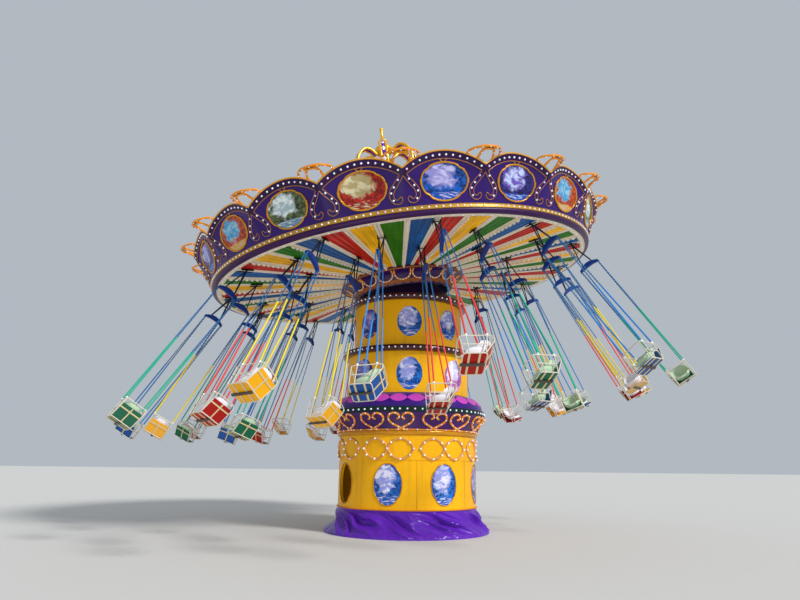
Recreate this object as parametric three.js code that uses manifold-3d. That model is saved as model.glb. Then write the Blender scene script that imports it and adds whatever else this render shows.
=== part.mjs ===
// Chair swing ride with a lifting tower, a tilting turning canopy and thirty-six hanging chairs.
// Millimetres, +Z up, origin on the tower's axis at ground level, stored mid-ride with the chairs flung out.
import * as THREE from 'three';
import { mergeVertices } from 'three/addons/utils/BufferGeometryUtils.js';
import Module from 'manifold-3d';

const wasm = await Module();
wasm.setup();

// Faces that touch keep this gap
const SEAT = 0.3;

// Fineness of the round parts, in flat sides round a full turn
const TOWER_SIDES = 24;
const CANOPY_SIDES = 40;
const SHAFT_SIDES = 24;
const FINIAL_SIDES = 12;

// Tower, radii and heights above the ground
const BASE_PLATE_R = 1600;
const BASE_PLATE_T = 30;
const MAST_R = 400;
const MAST_TOP = 2900;
const SKIRT_R = 1690;
const SKIRT_TOP = 478;
const DRUM_R = 1432;
const DRUM_WALL = 52;
const DRUM_TOP = 1400;
const ROPE_BAND_R = 1446;
const ROPE_BAND_TOP = 1870;
const CORBEL_R = 1670;
const CORBEL_TOP = 2290;
const BULB_BAND_R = 1660;
const BULB_BAND_TOP = 2400;
const DOME_R = 1620;
const DOME_TOP = 2700;
const LOWER_R = 1318;
const LOWER_TOP = 3530;
const LOWER_RING_R = 1450;
const LOWER_RING_TOP = 3660;
const FIXED_BORE_R = 1215;
const WALL = 45;

// Hatch left open in the drum wall, an upright oval
const HATCH_AZIMUTH = -60;
const HATCH_Z = 950;
const HATCH_WIDTH = 560;
const HATCH_HEIGHT = 760;

// Lifting section
const UPPER_R = 1187;
const UPPER_BORE_R = 1150;
const UPPER_BOTTOM = 2900;
const UPPER_TOP = 4645;
const UPPER_RING_R = 1320;
const UPPER_RING_TOP = 4780;
const SLEEVE_R = 480;
const SLEEVE_BOTTOM = 2250;
const SLEEVE_GAP = 0.6;
const CARRIAGE_PLATE_BOTTOM = 3900;
const CARRIAGE_PLATE_TOP = 3950;

// Tilting joint under the canopy
const PIVOT_Z = 4350;
const TILT_DEG = 8.53;
const LEAN_AZIMUTH = 198.1;
const PIN_R = 50;
const PIN_CLEARANCE = 0.4;
const CHEEK_IN = 200;
const CHEEK_T = 60;
const CHEEK_W = 240;
const CHEEK_TOP = PIVOT_Z + 90;
const NECK_R = 1130;
const NECK_LOW = 150;
const NECK_HIGH = 800;

// Canopy, heights above the plane of the rim's lower edge, which lies this far above the pivot
const RIM_ABOVE_PIVOT = 1020;
const RIM_R = 4137;
const BAND_TOP = 80;
const GOLD_TOP = 150;
const FASCIA_BOTTOM_R = 4195;
const FASCIA_T = 14;
const PANELS = 20;
const PANEL_PITCH = 360 / PANELS;
const PANEL_AZIMUTH = -97.5;
const VALLEY_H = 690;
const PEAK_H = 970;
const FLARE_AT_CENTRE = 0.3;
const FLARE_AT_VALLEY = 0.55;
const PANEL_STEPS = 4;
const EDGE_GAP = 0.8;
const ARCH_FOOT_DEG = 3.8;
const ARCH_OUT_R = 4735;
const ARCH_RISE = 905;
const DECK_R = 3990;
const SOFFIT_R = 3970;
const SOFFIT_IN_R = 1376;
const SOFFIT_PLATE_LOW = 20;
const SOFFIT_PLATE_TOP = 50;
const CORNICE_TOP_R = 1370;
const CORNICE_LOW_R = 1070;
const CORNICE_LOW = -310;
const RIBS = 48;
const RIB_PITCH = 360 / RIBS;
const RIB_AZIMUTH = -88.4;
const RIB_HALF_IN = 36;
const RIB_HALF_OUT = 56;
const ROOF_TOP_R = 950;
const ROOF_TOP = 2350;
const FINIAL_TIP = 3980;
const SCROLLS = 6;
const SCROLL_AZIMUTH = -92;
const SCROLL_HALF_W = 87;
const SCROLL_HALF_T = 22;

// Chairs: three rings of twelve, each hung from a pin under the soffit. Those near one azimuth
// swing out further than the rest of their ring, and those near another trail behind their pins.
const CHAIRS_PER_RING = 12;
const CHAIR_PITCH = 360 / CHAIRS_PER_RING;
const RINGS = [
  { name: 'outer', radius: 3830, azimuth: -80.8, fling: 32.5, firstColour: 2 },
  { name: 'middle', radius: 3330, azimuth: -96, fling: 28.2, firstColour: 3 },
  { name: 'inner', radius: 2440, azimuth: -80.9, fling: 20.7, firstColour: 2 },
];
const NEAR_FLING = 5;
const NEAR_AZIMUTH = -84;
const TRAIL = 3.3;
const TRAIL_AZIMUTH = -112;
const CHAIR_COLOURS = [
  { name: 'green', value: 0x0b6b4a },
  { name: 'yellow', value: 0xe0a020 },
  { name: 'red', value: 0xa81c24 },
  { name: 'blue', value: 0x1f4fa0 },
];
const HANG_PIN_R = 8;
const PIN_HEIGHT = -HANG_PIN_R - SEAT;
const HANG_PIN_L = 120;
const SPREADER_DROP = 520;
const SPREADER_W = 430;
const SPREADER_DEPTH = 90;
const SPREADER_T = 70;
const RAIL_DROP = 3160;
const TUB_W = 360;
const TUB_H = 320;
const FLOOR_FRONT = -230;
const FLOOR_REAR = 55;
const BACK_REAR = 210;
const BACK_H = 225;
const BACK_T = 24;
const SEAT_T = 50;
const GUARD_R = 14;
const ROD_R = 7;
const CHAIN_R = 9;

const rad = THREE.MathUtils.degToRad;

// Turning a group by this takes its Z from the tower's axis to the canopy's leaning axis
const leanAxis = new THREE.Vector3(-Math.sin(rad(LEAN_AZIMUTH)), Math.cos(rad(LEAN_AZIMUTH)), 0);
const lean = new THREE.Quaternion().setFromAxisAngle(leanAxis, rad(TILT_DEG));

const ride = new THREE.Group();
const canopy = new THREE.Group();
canopy.position.z = PIVOT_Z;
canopy.quaternion.copy(lean);
ride.add(canopy);

// Keeps position alone, joins equal corners and drops triangles that have no area
function toSolid(geometry) {
  const bare = new THREE.BufferGeometry();
  bare.setAttribute('position', geometry.getAttribute('position').clone());
  if (geometry.index) bare.setIndex(geometry.index.clone());
  const merged = mergeVertices(bare, 1e-3);
  const corners = merged.index.array;
  const kept = [];
  for (let i = 0; i < corners.length; i += 3) {
    const [a, b, c] = [corners[i], corners[i + 1], corners[i + 2]];
    if (a !== b && b !== c && c !== a) kept.push(a, b, c);
  }
  const vertProperties = new Float32Array(merged.getAttribute('position').array);
  return new wasm.Manifold(new wasm.Mesh({ numProp: 3, vertProperties, triVerts: new Uint32Array(kept) }));
}

function toGeometry(solid) {
  const mesh = solid.getMesh();
  const geometry = new THREE.BufferGeometry();
  geometry.setAttribute('position', new THREE.BufferAttribute(mesh.vertProperties, 3));
  geometry.setIndex(new THREE.BufferAttribute(mesh.triVerts, 1));
  geometry.computeVertexNormals();
  return geometry;
}

function joined(geometries) {
  return toGeometry(geometries.map(toSolid).reduce((sum, next) => sum.add(next)));
}

function addPart(parent, name, geometry, color, roughness, metalness) {
  const mesh = new THREE.Mesh(geometry, new THREE.MeshStandardMaterial({ color, roughness, metalness }));
  mesh.name = name;
  parent.add(mesh);
  return mesh;
}

// A turned solid from its outline of [radius, height] points, counter-clockwise, standing along Z
function turned(outline, sides) {
  const closed = [...outline, outline[0]].map(([r, z]) => new THREE.Vector2(r, z));
  const geometry = new THREE.LatheGeometry(closed, sides);
  geometry.rotateX(Math.PI / 2);
  return toGeometry(toSolid(geometry));
}

// Points along a circular arc in the [radius, height] plane
function arc(centreR, centreZ, radius, fromDeg, toDeg, steps) {
  return Array.from({ length: steps + 1 }, (_, i) => {
    const angle = rad(fromDeg + ((toDeg - fromDeg) * i) / steps);
    return [centreR + radius * Math.cos(angle), centreZ + radius * Math.sin(angle)];
  });
}

function box(width, depth, height, x, y, z) {
  return new THREE.BoxGeometry(width, depth, height).translate(x, y, z);
}

// A straight bar of regular section between two points
function bar(from, to, radius, sides) {
  const along = new THREE.Vector3().subVectors(to, from);
  const geometry = new THREE.CylinderGeometry(radius, radius, along.length(), sides);
  const turn = new THREE.Quaternion().setFromUnitVectors(new THREE.Vector3(0, 1, 0), along.clone().normalize());
  geometry.applyQuaternion(turn);
  const middle = new THREE.Vector3().addVectors(from, to).multiplyScalar(0.5);
  return geometry.translate(middle.x, middle.y, middle.z);
}

// A bar that follows a curve
function bentBar(points, halfWidth, halfHeight, steps) {
  const section = new THREE.Shape([
    new THREE.Vector2(-halfHeight, -halfWidth),
    new THREE.Vector2(halfHeight, -halfWidth),
    new THREE.Vector2(halfHeight, halfWidth),
    new THREE.Vector2(-halfHeight, halfWidth),
  ]);
  const extrudePath = new THREE.CatmullRomCurve3(points);
  return new THREE.ExtrudeGeometry(section, { steps, extrudePath });
}

// Tower: base plate and mast, skirt, drum, corbel, dome and lower wall, all fixed to the ground
function addTower() {
  const mast = turned([
    [0, 0], [BASE_PLATE_R, 0], [BASE_PLATE_R, BASE_PLATE_T], [MAST_R + 120, BASE_PLATE_T],
    [MAST_R + 120, BASE_PLATE_T + 60], [MAST_R, BASE_PLATE_T + 60], [MAST_R, MAST_TOP], [0, MAST_TOP],
  ], SHAFT_SIDES);
  addPart(ride, 'mast', mast, 0x8a8d90, 0.5, 0.7);

  const plateClear = BASE_PLATE_R + 8;
  const skirtBore = 1300;
  addPart(ride, 'skirt', turned([
    [plateClear, 0], [SKIRT_R, 0], [1640, 60], [1545, 200], [1470, 350], [1435, SKIRT_TOP],
    [skirtBore, SKIRT_TOP], [skirtBore, BASE_PLATE_T + SEAT], [plateClear, BASE_PLATE_T + SEAT],
  ], TOWER_SIDES), 0x5a2a9a, 0.45, 0);

  const flangeTop = 500;
  addPart(ride, 'foot_flange', turned([
    [skirtBore, SKIRT_TOP + SEAT], [1458, SKIRT_TOP + SEAT], [1466, 490], [1458, flangeTop], [skirtBore, flangeTop],
  ], TOWER_SIDES), 0xe08a20, 0.45, 0);

  addPart(ride, 'drum_wall', drumWall(flangeTop + SEAT), 0xe0a318, 0.5, 0);

  const bandBore = DRUM_R - DRUM_WALL;
  addPart(ride, 'rope_band', turned([
    [bandBore, DRUM_TOP + SEAT], [ROPE_BAND_R, DRUM_TOP + SEAT], [ROPE_BAND_R, ROPE_BAND_TOP],
    [bandBore, ROPE_BAND_TOP],
  ], TOWER_SIDES), 0xd9a01c, 0.5, 0);

  addPart(ride, 'corbel', turned([
    [bandBore, ROPE_BAND_TOP + SEAT], [1462, ROPE_BAND_TOP + SEAT], [1478, 1890], [1466, 1912], [1475, 1960],
    [1520, 2060], [1600, 2190], [CORBEL_R, CORBEL_TOP], [1500, CORBEL_TOP], [bandBore, 2150],
  ], TOWER_SIDES), 0x52208a, 0.45, 0);

  addPart(ride, 'bulb_band', turned([
    [1500, CORBEL_TOP + SEAT], [BULB_BAND_R, CORBEL_TOP + SEAT], [BULB_BAND_R, BULB_BAND_TOP],
    [1500, BULB_BAND_TOP],
  ], TOWER_SIDES), 0x10382e, 0.5, 0);

  addPart(ride, 'dome_shoulder', turned([
    [FIXED_BORE_R, BULB_BAND_TOP + SEAT], [DOME_R, BULB_BAND_TOP + SEAT],
    ...arc(1330, BULB_BAND_TOP, 286, 12, 90, 4).map(([r, z]) => [r, z + SEAT]), [1330, DOME_TOP],
    [FIXED_BORE_R, DOME_TOP],
  ], TOWER_SIDES), 0x5a2490, 0.45, 0);

  addPart(ride, 'lower_section', turned([
    [LOWER_R - WALL, DOME_TOP + SEAT], [LOWER_R, DOME_TOP + SEAT], [LOWER_R, LOWER_TOP], [LOWER_R - WALL, LOWER_TOP],
  ], TOWER_SIDES), 0xdd9c18, 0.5, 0);

  addPart(ride, 'lower_ring', bulbRing(FIXED_BORE_R, LOWER_RING_R, LOWER_TOP + SEAT, LOWER_RING_TOP), 0x5a1430, 0.4, 0);
}

// Ring with a rounded outer edge
function bulbRing(bore, radius, low, high) {
  const half = (high - low) / 2;
  const edge = arc(radius - half, low + half, half, -90, 90, 3);
  return turned([[bore, low], ...edge, [bore, high]], TOWER_SIDES);
}

// Round wall of the drum with the oval hatch cut through it
function drumWall(low) {
  const wall = turned([
    [DRUM_R - DRUM_WALL, low], [DRUM_R, low], [DRUM_R, DRUM_TOP], [DRUM_R - DRUM_WALL, DRUM_TOP],
  ], TOWER_SIDES);
  const cutter = new THREE.CylinderGeometry(1, 1, 600, 12);
  cutter.scale(HATCH_WIDTH / 2, 1, HATCH_HEIGHT / 2).translate(0, -DRUM_R, HATCH_Z);
  cutter.rotateZ(rad(HATCH_AZIMUTH));
  return toGeometry(toSolid(wall).subtract(toSolid(cutter)));
}

// Lifting section: wall, ring, and the carriage that rides on the mast and holds the tilt pin
function addLift() {
  addPart(ride, 'upper_section', turned([
    [UPPER_BORE_R, UPPER_BOTTOM], [UPPER_R, UPPER_BOTTOM], [UPPER_R, UPPER_TOP], [UPPER_BORE_R, UPPER_TOP],
  ], TOWER_SIDES), 0xdd9c18, 0.5, 0);
  addPart(ride, 'upper_ring', bulbRing(UPPER_BORE_R, UPPER_RING_R, UPPER_TOP + SEAT, UPPER_RING_TOP), 0x5a1430, 0.4, 0);

  const bore = MAST_R + SLEEVE_GAP;
  const sleeve = turned([
    [0, CARRIAGE_PLATE_BOTTOM], [bore, CARRIAGE_PLATE_BOTTOM], [bore, SLEEVE_BOTTOM], [SLEEVE_R, SLEEVE_BOTTOM],
    [SLEEVE_R, CARRIAGE_PLATE_BOTTOM + 10], [0, CARRIAGE_PLATE_BOTTOM + 10],
  ], SHAFT_SIDES);
  const plate = turned([
    [0, CARRIAGE_PLATE_BOTTOM], [UPPER_BORE_R - SEAT, CARRIAGE_PLATE_BOTTOM],
    [UPPER_BORE_R - SEAT, CARRIAGE_PLATE_TOP], [0, CARRIAGE_PLATE_TOP],
  ], TOWER_SIDES);
  const cheekLow = CARRIAGE_PLATE_TOP - 10;
  const cheekX = CHEEK_IN + CHEEK_T / 2;
  const cheeks = [-cheekX, cheekX].map((x) => (
    box(CHEEK_T, CHEEK_W, CHEEK_TOP - cheekLow, x, 0, (CHEEK_TOP + cheekLow) / 2)
  ));
  const boreRadius = (PIN_R + PIN_CLEARANCE) / Math.cos(Math.PI / SHAFT_SIDES);
  const pinBore = new THREE.CylinderGeometry(boreRadius, boreRadius, 3 * CHEEK_IN, SHAFT_SIDES);
  pinBore.rotateZ(Math.PI / 2).translate(0, 0, PIVOT_Z);
  const yoke = [...cheeks, pinBore].map((g) => toSolid(g.rotateZ(pinDirection())));
  const solid = toSolid(sleeve).add(toSolid(plate)).add(yoke[0]).add(yoke[1]).subtract(yoke[2]);
  addPart(ride, 'lift_carriage', toGeometry(solid), 0x6d7175, 0.5, 0.6);
}

// Angle of the tilt pin about Z, square to the direction in which the canopy leans
function pinDirection() {
  return rad(LEAN_AZIMUTH - 270);
}

// Round-shouldered neck that tilts on the pin and carries the canopy's turning ring
function addNeck() {
  const capDeg = (radius, height) => THREE.MathUtils.radToDeg(Math.asin(height / radius));
  const skin = 20;
  const inner = NECK_R - skin;
  const roof = 40;
  const columnR = 150;
  const shell = turned([
    [0, 0], [columnR, 0], [columnR, NECK_HIGH - roof],
    ...arc(0, 0, inner, capDeg(inner, NECK_HIGH - roof), capDeg(inner, NECK_LOW), 3),
    ...arc(0, 0, NECK_R, capDeg(NECK_R, NECK_LOW), capDeg(NECK_R, NECK_HIGH), 4), [0, NECK_HIGH],
  ], TOWER_SIDES);
  const block = box(2 * (CHEEK_IN - SEAT), 200, 200, 0, 0, 0);
  const pin = new THREE.CylinderGeometry(PIN_R, PIN_R, 2 * (CHEEK_IN + CHEEK_T), SHAFT_SIDES).rotateZ(Math.PI / 2);
  const turnedToPin = [block, pin].map((g) => g.rotateZ(pinDirection()));
  addPart(canopy, 'neck', joined([shell, ...turnedToPin]), 0x2a1240, 0.5, 0);
}

// Turning ring and deck, soffit, cornice, rim bands, fascia, edge trim, roof, finial and crown
function addCanopy() {
  const crown = new THREE.Group();
  crown.position.z = RIM_ABOVE_PIVOT;
  canopy.add(crown);
  const ringLow = NECK_HIGH - RIM_ABOVE_PIVOT + SEAT;
  const deckLow = SOFFIT_PLATE_TOP + SEAT;
  addPart(crown, 'turning_deck', turned([
    [0, ringLow], [700, ringLow], [700, ringLow + 60], [520, ringLow + 60], [520, deckLow],
    [DECK_R, deckLow], [DECK_R, deckLow + 20], [0, deckLow + 20],
  ], CANOPY_SIDES), 0x7a7d80, 0.5, 0.5);

  addPart(crown, 'soffit', soffit(), 0xd8cdb4, 0.6, 0);

  addPart(crown, 'cornice', turned([
    [CORNICE_LOW_R - 40, CORNICE_LOW], [CORNICE_LOW_R, CORNICE_LOW], [1120, -230], [1230, -90], [CORNICE_TOP_R, -35],
    [CORNICE_TOP_R, SOFFIT_PLATE_TOP], [1230, SOFFIT_PLATE_TOP],
  ], CANOPY_SIDES), 0x2c1446, 0.45, 0);

  addPart(crown, 'rim_band', turned([
    [DECK_R + SEAT, 0], [RIM_R, 0], [RIM_R + 38, 18], [RIM_R + 55, 45], [RIM_R + 50, BAND_TOP],
    [DECK_R + SEAT, BAND_TOP],
  ], CANOPY_SIDES), 0x301248, 0.4, 0);

  const goldLow = BAND_TOP + SEAT;
  const goldR = FASCIA_BOTTOM_R + 13;
  addPart(crown, 'gold_band', turned([
    [DECK_R + SEAT, goldLow], [goldR, goldLow], [goldR, GOLD_TOP], [DECK_R + SEAT, GOLD_TOP],
  ], CANOPY_SIDES), 0xc8953a, 0.35, 0.4);

  const fasciaSolid = scallopedShell(GOLD_TOP + SEAT, null, FASCIA_T, 0);
  addPart(crown, 'fascia', toGeometry(toSolid(fasciaSolid)), 0x3a1466, 0.4, 0);
  addPart(crown, 'edge_trim', edgeTrim(), 0xcf8e34, 0.35, 0.4);

  const roofEdge = FASCIA_BOTTOM_R - 20;
  const roofLow = GOLD_TOP + SEAT;
  const roofSkin = 40;
  addPart(crown, 'roof', turned([
    [roofEdge - roofSkin, roofLow], [roofEdge, roofLow], [roofEdge, roofLow + 70], [2400, 1100],
    [1300, 1850], [ROOF_TOP_R, ROOF_TOP], [0, ROOF_TOP], [0, ROOF_TOP - roofSkin], [ROOF_TOP_R - 30, ROOF_TOP - roofSkin],
    [1270, 1800], [2380, 1050],
  ], CANOPY_SIDES), 0x4a2a7a, 0.5, 0);

  addPart(crown, 'finial', finial(), 0xd99a28, 0.3, 0.5);
  addPart(crown, 'crown_scrolls', crownScrolls(), 0xd09030, 0.35, 0.4);
  return crown;
}

// Soffit: a plate with radial ribs standing down from it, one closed ring of steps
function soffit() {
  const places = [
    { r: SOFFIT_IN_R, halfRib: RIB_HALF_IN }, { r: SOFFIT_R, halfRib: RIB_HALF_OUT },
  ];
  const positions = [];
  for (let i = 0; i < RIBS; i += 1) {
    for (const side of [-1, 1]) {
      for (const { r, halfRib } of places) {
        const azimuth = rad(RIB_AZIMUTH + i * RIB_PITCH) + side * Math.asin(halfRib / r);
        for (const z of [0, SOFFIT_PLATE_LOW, SOFFIT_PLATE_TOP]) {
          positions.push(r * Math.cos(azimuth), r * Math.sin(azimuth), z);
        }
      }
    }
  }
  // Six corners at each rib side: foot, plate underside and plate top, on the inner and then the outer edge
  const indices = [];
  const quad = (a, b, c, d) => indices.push(a, b, c, a, c, d);
  for (let k = 0; k < 2 * RIBS; k += 1) {
    const here = k * 6;
    const next = ((k + 1) % (2 * RIBS)) * 6;
    const onRib = k % 2 === 0;
    const low = onRib ? 0 : 1;
    quad(here + 2, here + 5, next + 5, next + 2);
    quad(here + low, next + low, next + 3 + low, here + 3 + low);
    quad(here + 4, next + 4, next + 5, here + 5);
    quad(next + 1, here + 1, here + 2, next + 2);
    if (onRib) {
      quad(here + 3, next + 3, next + 4, here + 4);
      quad(next, here, here + 1, next + 1);
      quad(here, here + 3, here + 4, here + 1);
      quad(next + 3, next, next + 1, next + 4);
    }
  }
  const geometry = new THREE.BufferGeometry();
  geometry.setAttribute('position', new THREE.Float32BufferAttribute(positions, 3));
  geometry.setIndex(indices);
  return geometry;
}

// Height of the scalloped edge and flare of the fascia at a place across a panel, from -1 to 1
function panelEdge(across) {
  return {
    height: VALLEY_H + (PEAK_H - VALLEY_H) * (1 - across * across),
    flare: FLARE_AT_CENTRE + (FLARE_AT_VALLEY - FLARE_AT_CENTRE) * across * across,
  };
}

// Closed ring that follows the panels: the whole fascia, or a strip of it near its edge
function scallopedShell(low, stripDepth, thickness, lift) {
  const columns = PANELS * PANEL_STEPS;
  const positions = [];
  const indices = [];
  for (let i = 0; i < columns; i += 1) {
    const across = ((i % PANEL_STEPS) / PANEL_STEPS) * 2 - 1;
    const azimuth = rad(PANEL_AZIMUTH - PANEL_PITCH / 2 + (i * PANEL_PITCH) / PANEL_STEPS);
    const { height, flare } = panelEdge(across);
    const high = height + lift;
    const foot = stripDepth === null ? low : high - stripDepth;
    const outAt = (h) => FASCIA_BOTTOM_R + (Math.min(h, height) - GOLD_TOP) * flare;
    const proud = stripDepth === null ? 0 : 16;
    const corners = [
      [outAt(foot) - thickness, foot], [outAt(foot) + proud, foot],
      [outAt(high) + proud, high], [outAt(high) - thickness, high],
    ];
    for (const [r, z] of corners) positions.push(r * Math.cos(azimuth), r * Math.sin(azimuth), z);
    const next = (i + 1) % columns;
    for (let side = 0; side < 4; side += 1) {
      const after = (side + 1) % 4;
      const a = i * 4 + side;
      const b = next * 4 + side;
      const c = next * 4 + after;
      const d = i * 4 + after;
      // Undersides and inner walls are split the other way: a strip then lies on the edge below, and walls stay even
      if (side % 3 === 0) indices.push(a, b, d, b, c, d);
      else indices.push(a, b, c, a, c, d);
    }
  }
  const geometry = new THREE.BufferGeometry();
  geometry.setAttribute('position', new THREE.Float32BufferAttribute(positions, 3));
  geometry.setIndex(indices);
  return geometry;
}

// Gold edge along the scallops with an arch that stands out over each valley
function edgeTrim() {
  const stripDepth = 40;
  let solid = toSolid(scallopedShell(0, stripDepth, 44, stripDepth + EDGE_GAP));
  for (let i = 0; i < PANELS; i += 1) {
    const middle = PANEL_AZIMUTH + PANEL_PITCH * (i + 0.5);
    solid = solid.add(toSolid(valleyArch().rotateZ(rad(middle))));
  }
  return toGeometry(solid);
}

function valleyArch() {
  const across = 1 - (2 * ARCH_FOOT_DEG) / PANEL_PITCH;
  const { height, flare } = panelEdge(across);
  const footR = FASCIA_BOTTOM_R + (height - GOLD_TOP) * flare - 14;
  const footX = footR * Math.cos(rad(ARCH_FOOT_DEG));
  const footY = footR * Math.sin(rad(ARCH_FOOT_DEG));
  const at = (r, y, z) => new THREE.Vector3(r, y, z);
  const half = (side) => [
    at(footX, side * footY, height + 29), at(footX + 110, 0.94 * side * footY, height + 42),
    at(ARCH_OUT_R - 45, 0.62 * side * footY, ARCH_RISE), at(ARCH_OUT_R, 0.25 * side * footY, ARCH_RISE),
  ];
  return bentBar([...half(-1), ...half(1).reverse()], 16, 16, 10);
}

// Turned post, onion, collar and spike
function finial() {
  return turned([
    [0, ROOF_TOP + SEAT], [420, ROOF_TOP + SEAT], [420, ROOF_TOP + 80], [160, 2500], [120, 2700], [120, 3040],
    [150, 3060], [150, 3100], [60, 3130], [62, 3170], [195, 3290], [222, 3360], [195, 3435], [120, 3490],
    [96, 3525], [124, 3585], [112, 3615], [60, 3665], [37, 3740], [35, 3860], [41, 3930], [30, 3965], [0, FINIAL_TIP],
  ], FINIAL_SIDES);
}

// Ribbons that rise from one ring round the finial and bend in over it
function crownScrolls() {
  const foot = ROOF_TOP + SEAT;
  const rim = ROOF_TOP_R - 10;
  const base = turned([[620, foot], [rim, foot], [rim, foot + 60], [620, foot + 60]], TOWER_SIDES);
  let solid = toSolid(base);
  for (let i = 0; i < SCROLLS; i += 1) {
    const at = (r, z) => new THREE.Vector3(r, 0, z);
    const points = [
      at(750, foot + 30), at(785, 2700), at(775, 2960), at(715, 3140), at(615, 3270), at(490, 3335), at(350, 3290),
      at(240, 3190),
    ];
    const ribbon = bentBar(points, SCROLL_HALF_W, SCROLL_HALF_T, 10);
    solid = solid.add(toSolid(ribbon.rotateZ(rad(SCROLL_AZIMUTH + (360 / SCROLLS) * i))));
  }
  return toGeometry(solid);
}

// Spreader, chains and chair as they hang straight down from the pin: X outward, -Y the way it faces
function chairBody() {
  const v = (x, y, z) => new THREE.Vector3(x, y, z);
  const ends = [-1, 1];
  const spreaderLow = -SPREADER_DROP - SPREADER_DEPTH;
  const wedge = new THREE.Shape([
    new THREE.Vector2(-SPREADER_W / 2, spreaderLow), new THREE.Vector2(SPREADER_W / 2, spreaderLow),
    new THREE.Vector2(140, -SPREADER_DROP), new THREE.Vector2(-140, -SPREADER_DROP),
  ]);
  const spreader = new THREE.ExtrudeGeometry(wedge, { depth: SPREADER_T, bevelEnabled: false });
  spreader.translate(0, 0, -SPREADER_T / 2).rotateX(Math.PI / 2);

  const floorZ = -RAIL_DROP - TUB_H;
  const side = new THREE.Shape([
    new THREE.Vector2(FLOOR_FRONT, floorZ), new THREE.Vector2(FLOOR_REAR, floorZ),
    new THREE.Vector2(BACK_REAR, floorZ + BACK_H), new THREE.Vector2(BACK_REAR - BACK_T, floorZ + BACK_H),
    new THREE.Vector2(FLOOR_REAR, floorZ + SEAT_T), new THREE.Vector2(FLOOR_FRONT, floorZ + SEAT_T),
  ]);
  const tub = new THREE.ExtrudeGeometry(side, { depth: TUB_W, bevelEnabled: false });
  tub.translate(0, 0, -TUB_W / 2).rotateX(Math.PI / 2).rotateZ(Math.PI / 2);

  const frontFoot = v(TUB_W / 2 - 14, -FLOOR_FRONT - 22, floorZ + SEAT_T - 12);
  const rearFoot = v(TUB_W / 2 - 14, BACK_REAR - 20, floorZ + BACK_H - 16);
  const chainTop = v(SPREADER_W / 2 - 20, 20, spreaderLow + 12);
  const chains = ends.flatMap((x) => ends.map((y) => {
    const foot = y < 0 ? frontFoot : rearFoot;
    const turnTo = v(x, y, 1);
    return bar(chainTop.clone().multiply(turnTo), foot.clone().multiply(turnTo), CHAIN_R, 3);
  }));
  const guardY = FLOOR_FRONT + 42;
  const guard = bar(v(-TUB_W / 2 + 12, guardY, -RAIL_DROP), v(TUB_W / 2 - 12, guardY, -RAIL_DROP), GUARD_R, 4);
  return [spreader, tub, guard, ...chains].map(toSolid).reduce((sum, next) => sum.add(next));
}

// Pin and the two rods that fan from it to the spreader, before the chair is flung out
function hanger(pinAxis, flungBy) {
  const pinEnd = pinAxis.clone().multiplyScalar(HANG_PIN_L / 2);
  const pin = bar(pinEnd.clone().negate(), pinEnd, HANG_PIN_R, 6);
  pin.applyQuaternion(new THREE.Quaternion().setFromAxisAngle(pinAxis, -flungBy));
  const rods = [-1, 1].map((s) => {
    const head = pinAxis.clone().multiplyScalar(s * (HANG_PIN_L / 2 - 15));
    return bar(head, new THREE.Vector3(s * 105, 0, -SPREADER_DROP - 20), ROD_R, 3);
  });
  return [pin, ...rods];
}

// The turn, in the canopy's frame, that flings a chair out from hanging along the canopy's axis
function flingTurn(azimuth, flingDeg, trailDeg) {
  const outward = new THREE.Vector3(Math.cos(azimuth), Math.sin(azimuth), 0).applyQuaternion(lean);
  const level = new THREE.Vector3(outward.x, outward.y, 0).normalize();
  const behind = new THREE.Vector3(-level.y, level.x, 0);
  const hang = level.multiplyScalar(Math.sin(rad(flingDeg)));
  hang.z = -Math.cos(rad(flingDeg));
  hang.multiplyScalar(Math.cos(rad(trailDeg))).addScaledVector(behind, Math.sin(rad(trailDeg)));
  hang.applyQuaternion(lean.clone().invert());
  return new THREE.Quaternion().setFromUnitVectors(new THREE.Vector3(0, 0, -1), hang);
}

// One at an azimuth in degrees, and less away from it
function nearTo(azimuthDeg, azimuth) {
  return Math.max(0, Math.cos(azimuth - rad(azimuthDeg)));
}

function addChairs(crown) {
  const body = toGeometry(chairBody());
  for (const ring of RINGS) {
    for (let i = 0; i < CHAIRS_PER_RING; i += 1) {
      const azimuth = rad(ring.azimuth + i * CHAIR_PITCH);
      const fling = ring.fling + NEAR_FLING * nearTo(NEAR_AZIMUTH, azimuth) ** 4;
      const turn = flingTurn(azimuth, fling, TRAIL * nearTo(TRAIL_AZIMUTH, azimuth) ** 8);
      const axis = new THREE.Vector3(turn.x, turn.y, 0).normalize();
      const ownAxis = axis.clone().applyAxisAngle(new THREE.Vector3(0, 0, 1), -azimuth);
      const geometry = joined([body, ...hanger(ownAxis, 2 * Math.acos(turn.w))]);
      geometry.rotateZ(azimuth).applyQuaternion(turn);
      geometry.translate(ring.radius * Math.cos(azimuth), ring.radius * Math.sin(azimuth), PIN_HEIGHT);
      const colour = CHAIR_COLOURS[(ring.firstColour + i) % CHAIR_COLOURS.length];
      const number = String(i + 1).padStart(2, '0');
      addPart(crown, `chair_${ring.name}_${number}_${colour.name}`, geometry, colour.value, 0.45, 0.2);
    }
  }
}

addTower();
addLift();
addNeck();
addChairs(addCanopy());

export default ride;
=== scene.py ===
"""Chair swing ride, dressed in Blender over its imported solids. Metres, +Z up, camera side at -Y."""
import math

import bmesh
import bpy
from mathutils import Matrix, Vector, noise


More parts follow.
